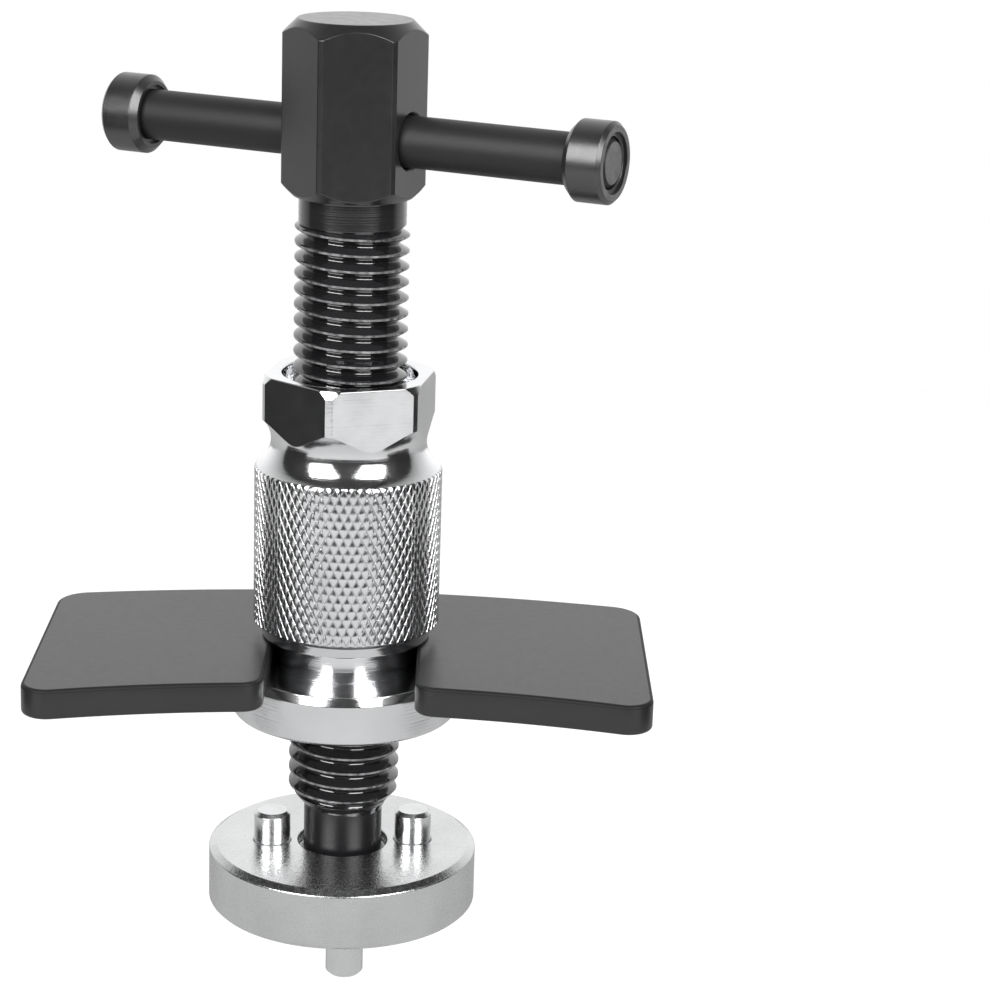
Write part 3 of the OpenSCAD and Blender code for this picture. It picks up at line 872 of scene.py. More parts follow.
@dataclass
class HandleBar:
    """Bar that slides through the screw's head, with a pressed cap on each end."""

    d: float = 8.0
    length: float = 85.4
    z: float = 81.086
    turn: float = -25.4
    slid: float = 0.75
    gap: float = 0.1
    tip: float = 0.8
    mouth: float = 0.5
    cap_d: float = 12.5
    cap_len: float = 6.4
    cap_in: float = 36.6
    inner_chamfer: float = 1.0
    outer_chamfer: float = 0.6
    recess_d: float = 9.3
    recess: float = 0.7
    press_gap: float = 0.02
    end_facing: float = 0.9
    facets: int = 72
    cap_facets: int = 84

    def laid(self, piece: bpy.types.Object, slid: float = 0.0, flip: bool = False) -> bpy.types.Object:
        """Lays a piece turned about Z along the bar.

        Args:
            piece: The piece.
            slid: How far it is slid from the middle of the hole.
            flip: Whether it goes to the far end.

        Returns:
            The same piece.
        """
        place = Matrix.Translation((0.0, 0.0, self.z * MM)) @ Matrix.Rotation(math.radians(self.turn), 4, "Z")
        about = Matrix.Rotation(math.pi, 4, "Z") if flip else Matrix.Identity(4)
        out = Matrix.Translation((slid * MM, 0.0, 0.0))
        piece.data.transform(place @ out @ about @ Matrix.Rotation(math.pi / 2.0, 4, "Y"))
        return piece

    def hole_tool(self, head_af: float) -> bpy.types.Object:
        """Makes the tool that cuts the bar's hole through the head, flared at both flats.

        Args:
            head_af: Size of the head across flats.

        Returns:
            The tool.
        """
        r, flat = self.d / 2.0 + self.gap, head_af / 2.0
        far, wide = flat + self.mouth, r + 2.0 * self.mouth
        side = [Corner(wide, far + OVERRUN), Corner(wide, far, 0.2), Corner(r, flat - self.mouth, 0.6)]
        other = [Corner(c.r, -c.z, c.soft) for c in reversed(side)]
        profile = rounded([Corner(0.0, far + OVERRUN), *side, *other, Corner(0.0, -far - OVERRUN)])
        return self.laid(turned("bar_hole_tool", profile, columns(self.facets)))

    def bar(self) -> bpy.types.Object:
        """Makes the plain bar."""
        r, h = self.d / 2.0, self.length / 2.0
        profile = rounded([
            Corner(0.0, -h), Corner(r - self.tip, -h, 0.2), Corner(r, self.tip - h, 0.3),
            Corner(r, h - self.tip, 0.3), Corner(r - self.tip, h, 0.2), Corner(0.0, h)])
        return self.laid(turned("tee_bar_rod", profile, columns(self.facets)), self.slid)

    def cap(self, end: BarEnd) -> bpy.types.Object:
        """Makes the cap on one end of the bar."""
        r, rec, bore = self.cap_d / 2.0, self.recess_d / 2.0, self.d / 2.0 + self.press_gap
        z0, z1 = self.cap_in, self.cap_in + self.cap_len
        profile = rounded([
            Corner(bore, z0 + self.recess), Corner(rec, z0 + self.recess, 0.1), Corner(rec, z0, 0.08),
            Corner(r - self.inner_chamfer, z0, 0.12), Corner(r, z0 + self.inner_chamfer, 0.15),
            Corner(r, z1 - self.outer_chamfer, 0.15), Corner(r - self.outer_chamfer, z1, 0.1),
            Corner(rec, z1, 0.08), Corner(rec, z1 - self.recess, 0.1),
            Corner(bore, z1 - self.recess)], closed=True)
        name = "bar_cap_near_ring" if end is BarEnd.NEAR else "bar_cap_far_ring"
        ring = turned(name, profile, columns(self.cap_facets), closed=True)
        return self.laid(ring, self.slid, end is BarEnd.FAR)

    def build(self) -> None:
        """Makes the bar and its caps and dresses them."""
        along = toward(self.turn).to_3d()

        def outward(at: Vector, way: Vector) -> bool:
            """Whether a face looks along the bar, away from the head."""
            facing = way.dot(along)
            return (facing if at.dot(along) > 0.0 else -facing) > self.end_facing

        bar = dressed(self.bar(), "handle", BLACK_BAR, "tee_bar")
        near = dressed(self.cap(BarEnd.NEAR), "handle", BLACK_CAP, "bar_cap_near")
        far = dressed(self.cap(BarEnd.FAR), "handle", BLACK_CAP, "bar_cap_far")
        # The outward end faces get a painted sheen: a lighter base colour in place of the light that they
        # reflect
        for piece in (bar, near, far):
            touched_up(piece, PAINTED_SHEEN_END, outward)


@dataclass
class KnurledSleeve:
    """Nut sleeve with a knurled band, a turned waist, a hexagon and a neck that runs in the plate's slot.

    hex_top_d is where the chamfer on the hexagon's corners meets its top. cone_reach and brow_reach are how
    far the trims at the knurl's lower and upper end run on, and squeeze draws in what hangs below the band.
    """

    knurl_d: float = 30.0
    knurl_z: float = 2.85
    knurl_depth: float = 0.32
    diamonds: int = 66
    diamond_h: float = 2.69
    crown: float = 0.85
    dome: float = 0.14
    bottom_z: float = 0.3
    chamfer: float = 1.5
    band: float = 1.2
    band_z: float = 1.95
    shoulder_z: float = 28.3
    waist_z: float = 32.686
    waist_d: float = 24.8
    waist_r: float = 5.0
    hex_af: float = 25.0
    hex_corner_d: float = 28.25
    hex_turn: float = 49.35
    hex_chamfer: float = 1.25
    hex_top_d: float = 27.0
    hex_break: float = 0.15
    top_z: float = 43.636
    cup_d: float = 21.5
    cup_depth: float = 5.0
    bore_d: float = 18.1
    neck_d: float = 22.0
    neck_z: float = -14.2
    clip_z: float = -13.0
    clip_t: float = 1.0
    clip_in_d: float = 21.0
    edge: float = 0.4
    root_sink: float = 0.06
    trim_sink: float = 0.02
    squeeze: float = 0.75
    cone_reach: float = 2.5
    brow_reach: float = 1.7
    foot_spread: float = 1.08
    dome_power: float = 2.5
    top_share: float = 0.9
    rim: float = 0.99
    flat_inset: float = 0.2
    upright: float = 0.05
    waist_steps: int = 18
    facets: int = 132

    @property
    def knurl_top(self) -> float:
        """Height at which the knurl's valleys run out into the waist."""
        beside = self.waist_d / 2.0 + self.waist_r - self.knurl_d / 2.0 + self.knurl_depth
        return self.waist_z - math.sqrt(self.waist_r ** 2 - beside ** 2)

    def section(self, a: float) -> Section:
        """Gives the sleeve's section in one direction, as a loop from the foot of its bore."""
        hexagon = flat_radius(a, self.hex_af, self.hex_corner_d, 6, self.hex_turn)
        knurl, neck, bore = self.knurl_d / 2.0, self.neck_d / 2.0, self.bore_d / 2.0
        valley, cup, clip = knurl - self.knurl_depth, self.cup_d / 2.0, self.clip_in_d / 2.0
        slope = self.band / (self.knurl_z - self.band_z)
        valley_z = self.knurl_z - self.knurl_depth / slope
        centre = Vector((self.waist_d / 2.0 + self.waist_r, self.waist_z))
        low = math.degrees(math.acos((valley - centre.x) / self.waist_r))
        high = math.degrees(math.acos((hexagon - centre.x) / self.waist_r))
        waist = arc(centre, self.waist_r, 360.0 - low, high, self.waist_steps)[1:-1]
        top_r = self.hex_top_d / 2.0
        fall = self.hex_chamfer / (self.hex_corner_d / 2.0 - top_r)
        drop = max(self.hex_break, fall * (hexagon - top_r))
        foot_z = centre.y + self.waist_r * math.sin(math.radians(high))
        clip_top = self.clip_z + self.clip_t
        return rounded([
            Corner(bore + 2 * self.edge, self.neck_z, 0.1), Corner(neck - self.edge, self.neck_z, 0.1),
            Corner(neck, self.neck_z + self.edge, 0.1), Corner(neck, self.clip_z, 0.05),
            Corner(clip, self.clip_z), Corner(clip, clip_top), Corner(neck, clip_top, 0.05),
            Corner(neck, self.bottom_z, 0.2), Corner(knurl - self.chamfer, self.bottom_z, 0.2),
            Corner(knurl - self.band, self.band_z, 0.1), Corner(valley, valley_z, 0.1),
            Corner(valley, self.knurl_top, 0.05), *(Corner(p.x, p.y) for p in waist),
            Corner(hexagon, foot_z, 0.15), Corner(hexagon, self.top_z - drop, 0.08),
            Corner(min(top_r, hexagon - self.hex_break), self.top_z, 0.08), Corner(cup, self.top_z, 0.3),
            Corner(cup, self.top_z - self.cup_depth, 0.2), Corner(bore, self.top_z - self.cup_depth, 0.3),
            Corner(bore, self.neck_z + self.edge, 0.1),
        ], closed=True)

    def body(self) -> bpy.types.Object:
        """Makes the sleeve, turned down to the knurl's valleys in its band."""
        ends = (self.hex_corner_d, self.hex_top_d)
        marks = [m for end in ends for m in flat_marks(self.hex_af, end, 6, self.hex_turn)]
        return turned("sleeve_body", self.section, columns(self.facets, marks), closed=True)

    def knurl(self) -> bpy.types.Object:
        """Grows the knurl's diamonds round the band, cut off at its ends and at the lower chamfer."""
        grow = Growth("sleeve_knurl")
        count = grow.size("Diamonds in a turn", self.diamonds)
        tall = grow.size("Diamond height", self.diamond_h * MM)
        outer = grow.size("Outer radius", self.knurl_d / 2.0 * MM)
        depth = grow.size("Depth", self.knurl_depth * MM)
        crown = grow.size("Crown share", self.crown)
        dome = grow.size("Dome height", self.dome * MM)
        low = grow.size("Lower end", self.knurl_z * MM)
        rows = math.ceil((self.knurl_top - self.knurl_z) / (self.diamond_h / 2.0)) + 1
        spots = grow.node("MeshLine", {"Count": grow.calc("MULTIPLY", count, float(rows))}).outputs[0]
        index = grow.node("InputIndex", {}).outputs[0]
        row = grow.calc("FLOOR", grow.calc("DIVIDE", grow.calc("ADD", index, 0.5), count))
        shift = grow.calc("MULTIPLY", grow.calc("MODULO", row, 2.0), 0.5)
        turn = grow.calc("MULTIPLY", grow.calc("ADD", index, shift), grow.calc("DIVIDE", FULL_TURN, count))
        rise = grow.calc("MULTIPLY", grow.calc("SUBTRACT", row, 1.0), grow.calc("MULTIPLY", tall, 0.5))
        under = self.root_sink * MM
        root = grow.calc("SUBTRACT", grow.calc("SUBTRACT", outer, depth), under)
        place = grow.vector(
            grow.calc("MULTIPLY", root, grow.calc("COSINE", turn)),
            grow.calc("MULTIPLY", root, grow.calc("SINE", turn)), grow.calc("ADD", low, rise))
        placed = grow.node("SetPosition", {"Geometry": spots, "Position": place}).outputs[0]
        diamond = self.diamond(grow, crown, dome, grow.calc("SUBTRACT", grow.calc("ADD", depth, under), dome))
        wide = grow.calc("MULTIPLY", grow.calc("DIVIDE", math.pi, count), outer)
        lattice = grow.node("InstanceOnPoints", {
            "Points": placed, "Instance": diamond,
            "Rotation": grow.vector(math.pi / 2.0, 0.0, grow.calc("ADD", turn, math.pi / 2.0)),
            "Scale": grow.vector(wide, grow.calc("MULTIPLY", tall, 0.5), 1.0)}).outputs[0]
        real = grow.node("RealizeInstances", {"Geometry": lattice}).outputs[0]
        _, _, z = grow.spot()
        bottom, shoulder, buried = self.band_z * MM, self.shoulder_z * MM, self.trim_sink * MM
        squeezed = grow.calc("MULTIPLY_ADD", grow.calc("SUBTRACT", z, bottom), self.squeeze, bottom)
        kept = grow.calc("MAXIMUM", z, squeezed)
        foot, fall = self.cone_reach * MM, self.band / (self.knurl_z - self.band_z)
        foot_r = grow.calc("SUBTRACT", outer, foot * fall + buried)
        top_r = grow.calc("SUBTRACT", outer, buried)
        cone = grow.ramp(kept, grow.calc("SUBTRACT", low, foot), low, foot_r, top_r)
        crest, steep = self.brow_reach * MM, self.knurl_depth / (self.knurl_top - self.shoulder_z)
        brow = grow.ramp(kept, shoulder, shoulder + crest, outer, grow.calc("SUBTRACT", outer, crest * steep))
        trimmed = grow.trimmed(real, (cone, brow), kept)
        return grow.grown(trimmed, BRIGHT_KNURL.material())

    def diamond(
        self, grow: Growth, crown: bpy.types.NodeSocket, dome: bpy.types.NodeSocket,
        wall: bpy.types.NodeSocket
    ) -> bpy.types.NodeSocket:
        """Makes one diamond of unit size, with steep sides and a domed top.

        Args:
            grow: The tree that gets the nodes.
            crown: Size of the top, as a share of the diamond.
            dome: How far the top rises to its middle.
            wall: Height of the sides.

        Returns:
            The diamond's mesh, standing on the XY plane.
        """
        block = grow.node("MeshCone", {
            "Vertices": 4, "Fill Segments": 3, "Radius Top": crown, "Radius Bottom": self.foot_spread,
            "Depth": wall}, fill_type="TRIANGLE_FAN").outputs["Mesh"]
        x, y, z = grow.spot()
        aside = grow.calc("ADD", grow.calc("ABSOLUTE", x), grow.calc("ABSOLUTE", y))
        reach = grow.calc("DIVIDE", aside, crown)
        on_top = grow.calc("GREATER_THAN", z, grow.calc("MULTIPLY", wall, self.top_share))
        fallen = grow.calc("POWER", reach, self.dome_power)
        swell = grow.calc("MULTIPLY", dome, grow.calc("SUBTRACT", 1.0, fallen))
        lift = grow.vector(0.0, 0.0, grow.calc("MULTIPLY", swell, on_top))
        domed = grow.node("SetPosition", {"Geometry": block, "Offset": lift}).outputs[0]
        on_rim = grow.calc("GREATER_THAN", reach, self.rim)
        return grow.node("SetShadeSmooth", {
            "Geometry": domed, "Selection": on_rim, "Shade Smooth": False}, domain="EDGE").outputs[0]

    def build(self) -> None:
        """Makes the sleeve's pieces and dresses them."""
        sleeve = dressed(self.body(), "sleeve", BRIGHT_SLEEVE, "knurled_sleeve")
        inside = self.hex_af / 2.0 - self.flat_inset
        touched_up(sleeve, BRIGHT_FLAT, lambda at, way: (
            at.z > self.waist_z and abs(way.z) < self.upright and math.hypot(at.x, at.y) > inside))
        dressed(self.knurl(), "sleeve", BRIGHT_KNURL)


@dataclass
class ThrustBearing:
    """Collar under the plate with a ball thrust bearing inside, held on the neck by a retaining ring."""

    collar_d: float = 36.4
    collar_z: float = -4.8
    collar_h: float = 7.9
    roof_z: float = -6.8
    chamfer: float = 0.65
    chamfer_h: float = 1.35
    low_chamfer: float = 0.4
    bore_d: float = 22.1
    cavity_d: float = 32.8
    race_in_d: float = 22.3
    race_out_d: float = 32.5
    race_t: float = 1.3
    low_race_z: float = -12.0
    ball_d: float = 3.0
    ball_z: float = -9.4
    ball_circle_d: float = 27.4
    balls: int = 16
    clip_z: float = -13.0
    clip_t: float = 1.0
    clip_in_d: float = 21.04
    clip_w: float = 2.4
    clip_open: float = 40.0
    lug_share: float = 0.7
    lug_turn: float = 7.0
    lug_root: float = 62.0
    lug_swell: float = 0.95
    clip_soft: float = 0.12
    same_spot: float = 0.01
    ball_gap: float = 0.05
    ball_detail: int = 4
    groove_steps: int = 8
    collar_facets: int = 144
    race_facets: int = 120
    eye_facets: int = 32

    def collar(self) -> bpy.types.Object:
        """Makes the collar."""
        r, low = self.collar_d / 2.0, self.collar_z - self.collar_h
        bore, cavity = self.bore_d / 2.0, self.cavity_d / 2.0
        profile = rounded([
            Corner(bore, self.roof_z, 0.1), Corner(bore, self.collar_z, 0.15),
            Corner(r - self.chamfer, self.collar_z, 0.3), Corner(r, self.collar_z - self.chamfer_h, 0.5),
            Corner(r, low + self.low_chamfer, 0.2), Corner(r - self.low_chamfer, low, 0.15),
            Corner(cavity, low, 0.15), Corner(cavity, self.roof_z, 0.2)], closed=True)
        return turned("thrust_collar_shell", profile, columns(self.collar_facets), closed=True)

    def race(self, name: str, z: float, up: int) -> bpy.types.Object:
        """Makes a race.

        Args:
            name: Name of the piece.
            z: Height of the face away from the balls.
            up: 1 if the groove is on top, -1 if it is underneath.

        Returns:
            The new object.
        """
        inner, outer, mid = self.race_in_d / 2.0, self.race_out_d / 2.0, self.ball_circle_d / 2.0
        face = z + up * self.race_t
        ball = self.ball_d / 2.0 + self.ball_gap
        drop = abs(self.ball_z - face)
        half = math.degrees(math.acos(drop / ball))
        first, last = -90.0 * up - up * half, -90.0 * up + up * half
        groove = arc(Vector((mid, self.ball_z)), ball, first, last, self.groove_steps)
        profile = rounded([
            Corner(inner, z, 0.15), Corner(inner, face, 0.15), *(Corner(p.x, p.y) for p in groove),
            Corner(outer, face, 0.15), Corner(outer, z, 0.15)], closed=True)
        return turned(name, profile, columns(self.race_facets), closed=True)

    def ball_ring(self) -> bpy.types.Object:
        """Grows the ring of balls."""
        grow = Growth("thrust_balls")
        count = grow.size("Balls", self.balls)
        circle = grow.size("Ball circle radius", self.ball_circle_d / 2.0 * MM)
        size = grow.size("Ball radius", self.ball_d / 2.0 * MM)
        level = grow.size("Height", self.ball_z * MM)
        ring = grow.node("MeshCircle", {"Vertices": count, "Radius": circle}).outputs[0]
        ball = grow.node("MeshIcoSphere", {"Radius": size, "Subdivisions": self.ball_detail}).outputs["Mesh"]
        laid = grow.node("InstanceOnPoints", {"Points": ring, "Instance": ball}).outputs[0]
        raised = grow.node("Transform", {
            "Geometry": laid, "Translation": grow.vector(0.0, 0.0, level)}).outputs[0]
        return grow.grown(raised, BEARING_STEEL.material())

    def clip(self) -> bpy.types.Object:
        """Makes the open retaining ring, with a lug and a plier hole at each end."""
        inner, half = self.clip_in_d / 2.0, self.clip_open / 2.0
        mid, lug = inner + self.clip_w / 2.0, self.clip_w * self.lug_share
        out, axis = inner + self.clip_w, Vector((0.0, 0.0))
        end, foot = 90.0 - half, -90.0
        where = end - self.lug_turn
        eye = toward(where) * (mid + self.clip_w / 4.0)
        swell = math.degrees(lug / out) * self.lug_swell
        right = arc(axis, out, foot, where - swell, 40)
        right += arc(eye, lug, where - self.lug_root, where + 90.0, 16)
        right += [toward(end) * inner]
        right += arc(axis, inner, end - 1.0, foot, 44)
        outline = right + [Vector((-p.x, p.y)) for p in reversed(right)]
        low, high = self.clip_z - OVERRUN, self.clip_z + self.clip_t + OVERRUN
        hole = rounded([Corner(0.0, low), Corner(lug / 2.0, low), Corner(lug / 2.0, high), Corner(0.0, high)])
        tools = []
        for side in (-1, 1):
            tool = turned("clip_eye_tool", hole, columns(self.eye_facets))
            tools.append(moved(tool, side * eye.x, eye.y))
        kept = [p for i, p in enumerate(outline) if (p - outline[i - 1]).length > self.same_spot]
        piece = slab("retaining_ring_clip", kept, self.clip_z, self.clip_z + self.clip_t, self.clip_soft)
        return cut(piece, tools)

    def build(self) -> None:
        """Makes the bearing's pieces and dresses them."""
        dressed(self.collar(), "collar", BRIGHT_COLLAR, "thrust_collar")
        dressed(self.race("upper_race_ring", self.roof_z, -1), "collar", BEARING_STEEL, "upper_race")
        dressed(self.race("lower_race_ring", self.low_race_z, 1), "sleeve", BEARING_STEEL, "lower_race")
        dressed(self.ball_ring(), "bearing", BEARING_STEEL, "bearing_balls")
        dressed(self.clip(), "sleeve", SPRING_STEEL, "retaining_ring")
        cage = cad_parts["ball_cage"]
        cage.data.materials.clear()
        cage.data.materials.append(CAGE_BRASS.material())
        log.info("ball_cage kept from the construction, %s", CAGE_BRASS.name)


@dataclass
class ReactionPlate:
    """Curved plate with rounded corners and a slot that opens to the front."""

    length: float = 97.0
    thick: float = 4.8
    front: float = 24.5
    back: float = 22.3
    front_r: float = 160.0
    back_corner_r: float = 5.5
    front_corner_r: float = 4.0
    mouth_r: float = 3.5
    slot_w: float = 23.5
    soft: float = 0.55
    slot_step: float = 4.0
    edge_facing: tuple[float, float] = (0.1, 0.99)

    def half_outline(self) -> Section:
        """Gives the right half of the outline, from the middle of the slot to the middle of the back."""
        arc_y, half, slot = -self.front - self.front_r, self.length / 2.0, self.slot_w / 2.0
        back_r = self.front_r + self.front + self.back
        hub = Vector((0.0, arc_y))

        def seat(x: float, reach: float) -> Vector:
            """Centre of a rounding that stands at x and at a distance from the arcs' centre."""
            return Vector((x, arc_y + math.sqrt(reach * reach - x * x)))

        def bearing(p: Vector) -> float:
            """Direction of a point from the arcs' centre, in degrees."""
            return math.degrees(math.atan2(p.y - hub.y, p.x - hub.x))

        mouth = seat(slot + self.mouth_r, self.front_r + self.mouth_r)
        nose = seat(half - self.front_corner_r, self.front_r + self.front_corner_r)
        heel = seat(half - self.back_corner_r, back_r - self.back_corner_r)
        points = arc(Vector((0.0, 0.0)), slot, 90.0, 0.0, 36)
        points += [Vector((slot, -self.slot_step * k)) for k in range(1, 5)]
        points += arc(mouth, self.mouth_r, 180.0, 180.0 + bearing(mouth), 12)
        points += arc(hub, self.front_r, bearing(mouth), bearing(nose), 14)[1:-1]
        points += arc(nose, self.front_corner_r, bearing(nose) - 180.0, 0.0, 12)
        points += [Vector((half, nose.y + (heel.y - nose.y) * k / 6.0)) for k in range(1, 6)]
        points += arc(heel, self.back_corner_r, 0.0, bearing(heel), 16)
        points += arc(hub, back_r, bearing(heel), 90.0, 20)[1:]
        return points

    def build(self) -> None:
        """Makes the plate and dresses it."""
        right = self.half_outline()
        left = [Vector((-p.x, p.y)) for p in reversed(right[1:-1])]
        piece = slab("reaction_plate_slab", right + left, -self.thick, 0.0, self.soft)
        plate = dressed(piece, "plate", BLACK_PLATE, "reaction_plate")
        low, high = self.edge_facing
        touched_up(plate, PLATE_EDGE, lambda at, way: low < way.z < high)


@dataclass
class AdapterDisc:
    """Disc that plugs on the square drive, with two pins on each face."""

    d: float = 44.0
    top_z: float = -36.014
    thick: float = 10.0
    turn: float = 4.35
    chamfer: float = 1.2
    chamfer_h: float = 0.75
    low_chamfer: float = 0.6
    recess_d: float = 14.8
    recess: float = 2.0
    hole: float = 9.7
    pin_d: float = 6.0
    pin_tip: float = 0.6
    pin_seat: float = 4.2
    pin_gap: float = 0.05
    upper_pcd: float = 23.2
    upper_out: float = 5.2
    lower_pcd: float = 34.2
    lower_out: float = 5.8
    hole_soft: float = 0.35
    sink: float = 0.25
    facets: int = 168
    pin_facets: int = 64
    hole_facets: int = 48

    @property
    def low_z(self) -> float:
        """Height of the disc's lower face."""
        return self.top_z - self.thick

    def spot(self, pcd: float, turn: float) -> Vector:
        """Gives the place of a pin on its pitch circle."""
        return toward(self.turn + turn) * (pcd / 2.0)

    def disc(self) -> bpy.types.Object:
        """Makes the disc with its square hole and its pin holes."""
        r, rec = self.d / 2.0, self.recess_d / 2.0
        piece = turned("adapter_disc_body", rounded([
            Corner(0.0, self.top_z - self.recess), Corner(rec, self.top_z - self.recess, 0.3),
            Corner(rec, self.top_z, 0.25), Corner(r - self.chamfer, self.top_z, 0.35),
            Corner(r, self.top_z - self.chamfer_h, 0.35), Corner(r, self.low_z + self.low_chamfer, 0.3),
            Corner(r - self.low_chamfer, self.low_z, 0.25), Corner(rec, self.low_z, 0.25),
            Corner(rec, self.low_z + self.recess, 0.3), Corner(0.0, self.low_z + self.recess)]),
            columns(self.facets))
        h, soft = self.hole / 2.0, self.hole_soft
        square = []
        for side in range(4):
            start = 90.0 * side
            centre = toward(45.0 + start) * (math.sqrt(2.0) * (h - soft))
            square += arc(centre, soft, start, start + 90.0, 4)
        socket = slab("drive_hole_tool", square, self.low_z - OVERRUN, self.top_z + OVERRUN, 0.1)
        socket.data.transform(Matrix.Rotation(math.radians(self.turn), 4, "Z"))
        tools = [socket]
        for turn in (0.0, 180.0):
            tools.append(self.pin_tool(self.spot(self.upper_pcd, turn), self.top_z, 1))
            tools.append(self.pin_tool(self.spot(self.lower_pcd, turn + 90.0), self.low_z, -1))
        return cut(piece, tools)

    def pin_tool(self, spot: Vector, face: float, up: int) -> bpy.types.Object:
        """Makes the tool for a pin's hole, with a small countersink at the face.

        Args:
            spot: Place of the pin.
            face: Height of the face that it stands on.
            up: 1 on the upper face, -1 on the lower one.

        Returns:
            The tool.
        """
        r, sink = self.pin_d / 2.0 + self.pin_gap, self.sink
        profile = rounded([
            Corner(0.0, face - up * self.pin_seat), Corner(r, face - up * self.pin_seat),
            Corner(r, face - up * sink, 0.1), Corner(r + 2.0 * sink, face + up * sink),
            Corner(r + 2.0 * sink, face + up * OVERRUN), Corner(0.0, face + up * OVERRUN)])
        return moved(turned("pin_hole_tool", profile, columns(self.hole_facets)), spot.x, spot.y)

    def pin(self, name: str, spot: Vector, face: float, out: float, up: int) -> bpy.types.Object:
        """Makes a pin with a chamfered tip.

        Args:
            name: Name of the piece.
            spot: Place of the pin.
            face: Height of the face that it stands on.
            out: How far it stands out.
            up: 1 on the upper face, -1 on the lower one.

        Returns:
            The new object.
        """
        r, tip = self.pin_d / 2.0, self.pin_tip
        profile = rounded([
            Corner(0.0, face - up * self.pin_seat), Corner(r, face - up * self.pin_seat, 0.2),
            Corner(r, face + up * (out - tip), 0.2), Corner(r - tip, face + up * out, 0.2),
            Corner(0.0, face + up * out)])
        return moved(turned(name, profile, columns(self.pin_facets)), spot.x, spot.y)

    def build(self) -> None:
        """Makes the disc and its pins and dresses them."""
        dressed(self.disc(), "adapter", DISC_NICKEL, "adapter_disc")
        for node, turn in (("upper_pin_right", 0.0), ("upper_pin_left", 180.0)):
            piece = self.pin(node + "_dowel", self.spot(self.upper_pcd, turn), self.top_z, self.upper_out, 1)
            dressed(piece, "adapter", PIN_STEEL, node)
        for node, turn in (("lower_pin_front", -90.0), ("lower_pin_rear", 90.0)):
            piece = self.pin(node + "_dowel", self.spot(self.lower_pcd, turn), self.low_z, self.lower_out, -1)
            dressed(piece, "adapter", PIN_STEEL, node)


@dataclass
class Camera:
    """Camera at the photograph's viewing angle; angles are in degrees."""

    place: tuple[float, float, float] = (17.82, -434.13, 150.7)
    yaw: float = 0.749
    down: float = 16.269
    roll: float = 1.815
    lens: float = 102.77
    sensor: float = 36.0
    nearest: float = 0.01
    farthest: float = 100.0

    def build(self) -> None:
        """Makes the camera and hands it to the scene."""
        data = bpy.data.cameras.new("camera")
        data.lens, data.sensor_width = self.lens, self.sensor
        data.clip_start, data.clip_end = self.nearest, self.farthest
        yaw, down, roll = (math.radians(v) for v in (self.yaw, self.down, self.roll))
        ahead = Vector((math.sin(yaw) * math.cos(down), math.cos(yaw) * math.cos(down), -math.sin(down)))
        level = Vector((math.cos(yaw), -math.sin(yaw), 0.0))
        over = level.cross(ahead)
        right = level * math.cos(roll) + over * math.sin(roll)
        up = over * math.cos(roll) - level * math.sin(roll)
        turn = Matrix((right, up, -ahead)).transposed().to_4x4()
        camera = added("camera", data)
        camera.matrix_world = Matrix.Translation(Vector(self.place) * MM) @ turn
        bpy.context.scene.camera = camera


@dataclass(frozen=True)
class Softbox:
    """A soft lamp: where it stands, its width and height, and its brightness where 1 is white; in metres."""

    name: str
    place: tuple[float, float, float]
    size: tuple[float, float]
    bright: float
    target: tuple[float, float, float] = (0.0, 0.0, 0.02)

    def build(self) -> None:
        """Makes the lamp, aimed at the middle of the tool."""
        lamp = bpy.data.lights.new(self.name, "AREA")
        lamp.shape, lamp.size, lamp.size_y = "RECTANGLE", *self.size
        lamp.energy = self.bright * math.pi * self.size[0] * self.size[1]
        holder = added(self.name, lamp)
        spot = Vector(self.place)
        aim = (Vector(self.target) - spot).to_track_quat("-Z", "Y").to_matrix().to_4x4()
        holder.matrix_world = Matrix.Translation(spot) @ aim


def plain_paint(name: str, grey: float, roughness: float) -> bpy.types.Material:
    """Makes a plain grey material for the studio."""
    made = bpy.data.materials.new(name)
    made.use_nodes = True
    shader = made.node_tree.nodes["Principled BSDF"]
    shader.inputs["Base Color"].default_value = (grey, grey, grey, 1.0)
    shader.inputs["Roughness"].default_value = roughness
    return made


def sheet(name: str, corners: Sequence[Sequence[float]], paint: bpy.types.Material) -> bpy.types.Object:
    """Makes a flat piece of the studio from its four corners, in metres."""
    mesh = bpy.data.meshes.new(name)
    mesh.from_pydata(corners, [], [(0, 1, 2, 3)])
    mesh.materials.append(paint)
    return added(name, mesh)


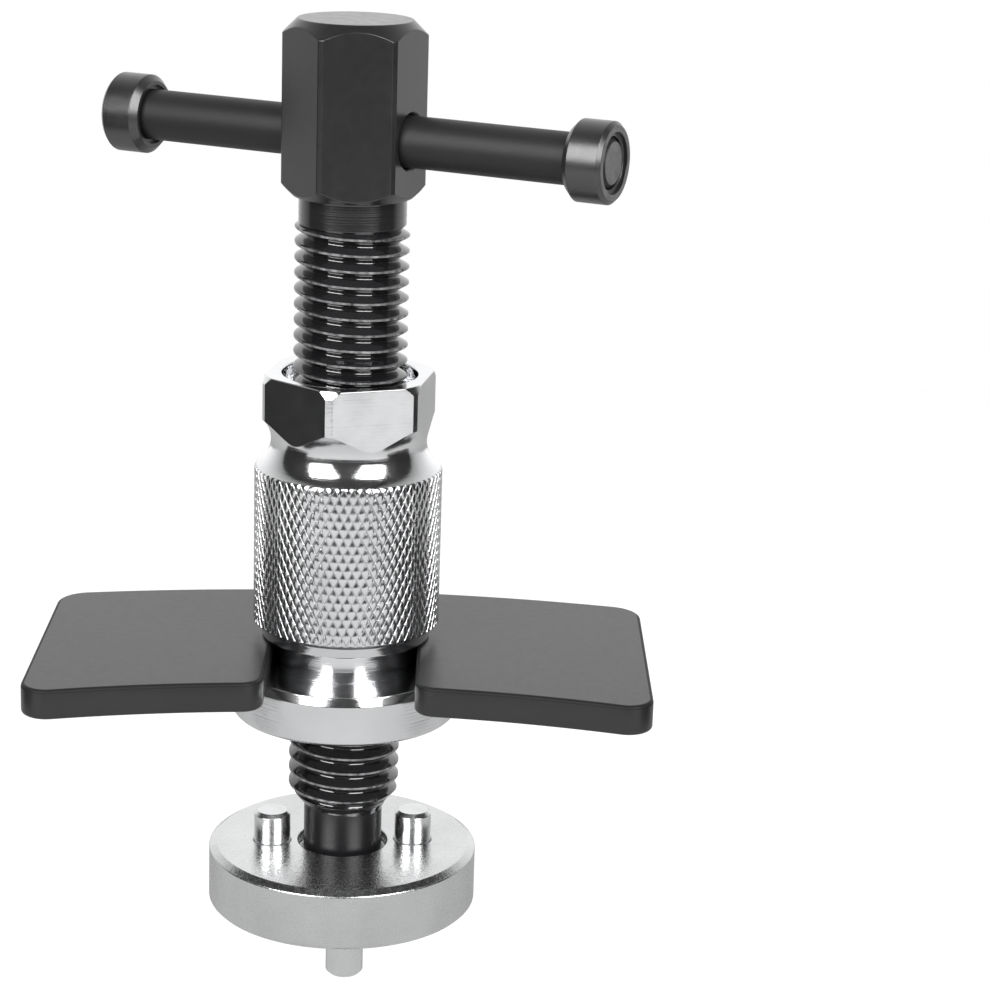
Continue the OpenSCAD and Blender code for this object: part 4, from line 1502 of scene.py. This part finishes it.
@dataclass(frozen=True)
class Flag:
    """A dark upright card that only reflections see: its middle, width, facing and top, in metres."""

    name: str
    place: tuple[float, float]
    width: float
    facing: float
    top: float

    def build(self, low: float, paint: bpy.types.Material) -> None:
        """Stands the card on the floor.

        Args:
            low: Height of the floor.
            paint: Its material.
        """
        along = math.radians(self.facing + 90.0)
        x, y, h = *self.place, self.width / 2.0
        dx, dy = h * math.cos(along), h * math.sin(along)
        card = sheet(self.name, (
            (x - dx, y - dy, low), (x + dx, y + dy, low), (x + dx, y + dy, self.top),
            (x - dx, y - dy, self.top)), paint)
        card.visible_camera = card.visible_diffuse = card.visible_shadow = card.visible_transmission = False
        card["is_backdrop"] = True


@dataclass
class Studio:
    """White backdrop, pale floor and two soft lamps, with the room dark on the camera's side.

    drop is how far the floor lies under the tool, which leaves room for the travel of its screw and its disc.
    """

    floor_half: float = 0.5
    drop: float = 0.028
    back: float = 1.15
    front: float = 0.06
    dim_to: float = 0.05
    white_from: float = 0.9
    pale: float = 0.46
    flag_shade: float = 0.02
    flag_roughness: float = 0.9
    lift_seen: float = 0.68
    lift_mirrored: float = 0.11
    boxes: tuple[Softbox, ...] = (
        Softbox("left_box", (-0.533, -0.682, 0.53), (0.59, 0.77), 7.0),
        Softbox("right_box", (0.533, -0.682, 0.53), (0.59, 0.77), 7.0),
    )
    flags: tuple[Flag, ...] = (
        Flag("left_flag", (-0.22, -0.04), 0.17, 0.0, 0.36),
        Flag("right_flag", (0.22, -0.04), 0.17, 180.0, 0.36),
    )

    def world(self) -> None:
        """Lights the room: white behind the tool, dim on the camera's side, white to the camera itself."""
        world = bpy.data.worlds.new("studio")
        world.use_nodes = True
        tree = world.node_tree
        sky = tree.nodes["Background"]
        way = tree.nodes.new("ShaderNodeTexCoord").outputs["Generated"]
        apart = tree.nodes.new("ShaderNodeSeparateXYZ")
        tree.links.new(way, apart.inputs[0])
        depth = tree.nodes.new("ShaderNodeMapRange")
        limits = (("From Min", self.dim_to), ("From Max", self.white_from), ("To Min", self.front),
                  ("To Max", self.back))
        for name, value in limits:
            depth.inputs[name].default_value = value
        tree.links.new(apart.outputs["Y"], depth.inputs["Value"])
        seen = tree.nodes.new("ShaderNodeMix")
        tree.links.new(tree.nodes.new("ShaderNodeLightPath").outputs["Is Camera Ray"], seen.inputs["Factor"])
        tree.links.new(depth.outputs[0], seen.inputs["A"])
        seen.inputs["B"].default_value = 1.0
        tree.links.new(seen.outputs[0], sky.inputs["Strength"])
        sky.inputs["Color"].default_value = (1.0, 1.0, 1.0, 1.0)
        bpy.context.scene.world = world

    def floor(self, low: float) -> None:
        """Lays the floor, which shows white and keeps the shadow.

        Args:
            low: Its height.
        """
        h = self.floor_half
        paint = plain_paint("pale_floor", self.pale, 1.0)
        ground = sheet("floor", ((-h, -h, low), (h, -h, low), (h, h, low), (-h, h, low)), paint)
        tree = paint.node_tree
        shader = tree.nodes["Principled BSDF"]
        shader.inputs["Specular IOR Level"].default_value = 0.0
        shader.inputs["Emission Color"].default_value = (1.0, 1.0, 1.0, 1.0)
        ray = tree.nodes.new("ShaderNodeLightPath")
        mirrored = tree.nodes.new("ShaderNodeMath")
        mirrored.operation = "MULTIPLY"
        mirrored.inputs[1].default_value = self.lift_mirrored
        tree.links.new(ray.outputs["Is Glossy Ray"], mirrored.inputs[0])
        lift = tree.nodes.new("ShaderNodeMath")
        lift.operation = "MULTIPLY_ADD"
        lift.inputs[1].default_value = self.lift_seen
        tree.links.new(ray.outputs["Is Camera Ray"], lift.inputs[0])
        tree.links.new(mirrored.outputs[0], lift.inputs[2])
        tree.links.new(lift.outputs[0], shader.inputs["Emission Strength"])
        ground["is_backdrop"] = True

    def build(self) -> None:
        """Sets up the studio."""
        bpy.context.scene.view_settings.view_transform = "Standard"
        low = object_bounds()[0].z - self.drop
        self.world()
        self.floor(low)
        for box in self.boxes:
            box.build()
        dark = plain_paint("dark_flag", self.flag_shade, self.flag_roughness)
        for flag in self.flags:
            flag.build(low, dark)


def main() -> None:
    """Builds the camera, the tool's sub-assemblies and the studio."""
    logging.basicConfig(level=logging.INFO, format="%(name)s: %(message)s")
    Camera().build()
    for part in (LeadScrew(), HandleBar(), KnurledSleeve(), ThrustBearing(), ReactionPlate(), AdapterDisc()):
        part.build()
    Studio().build()


if __name__ == "__main__":
    main()
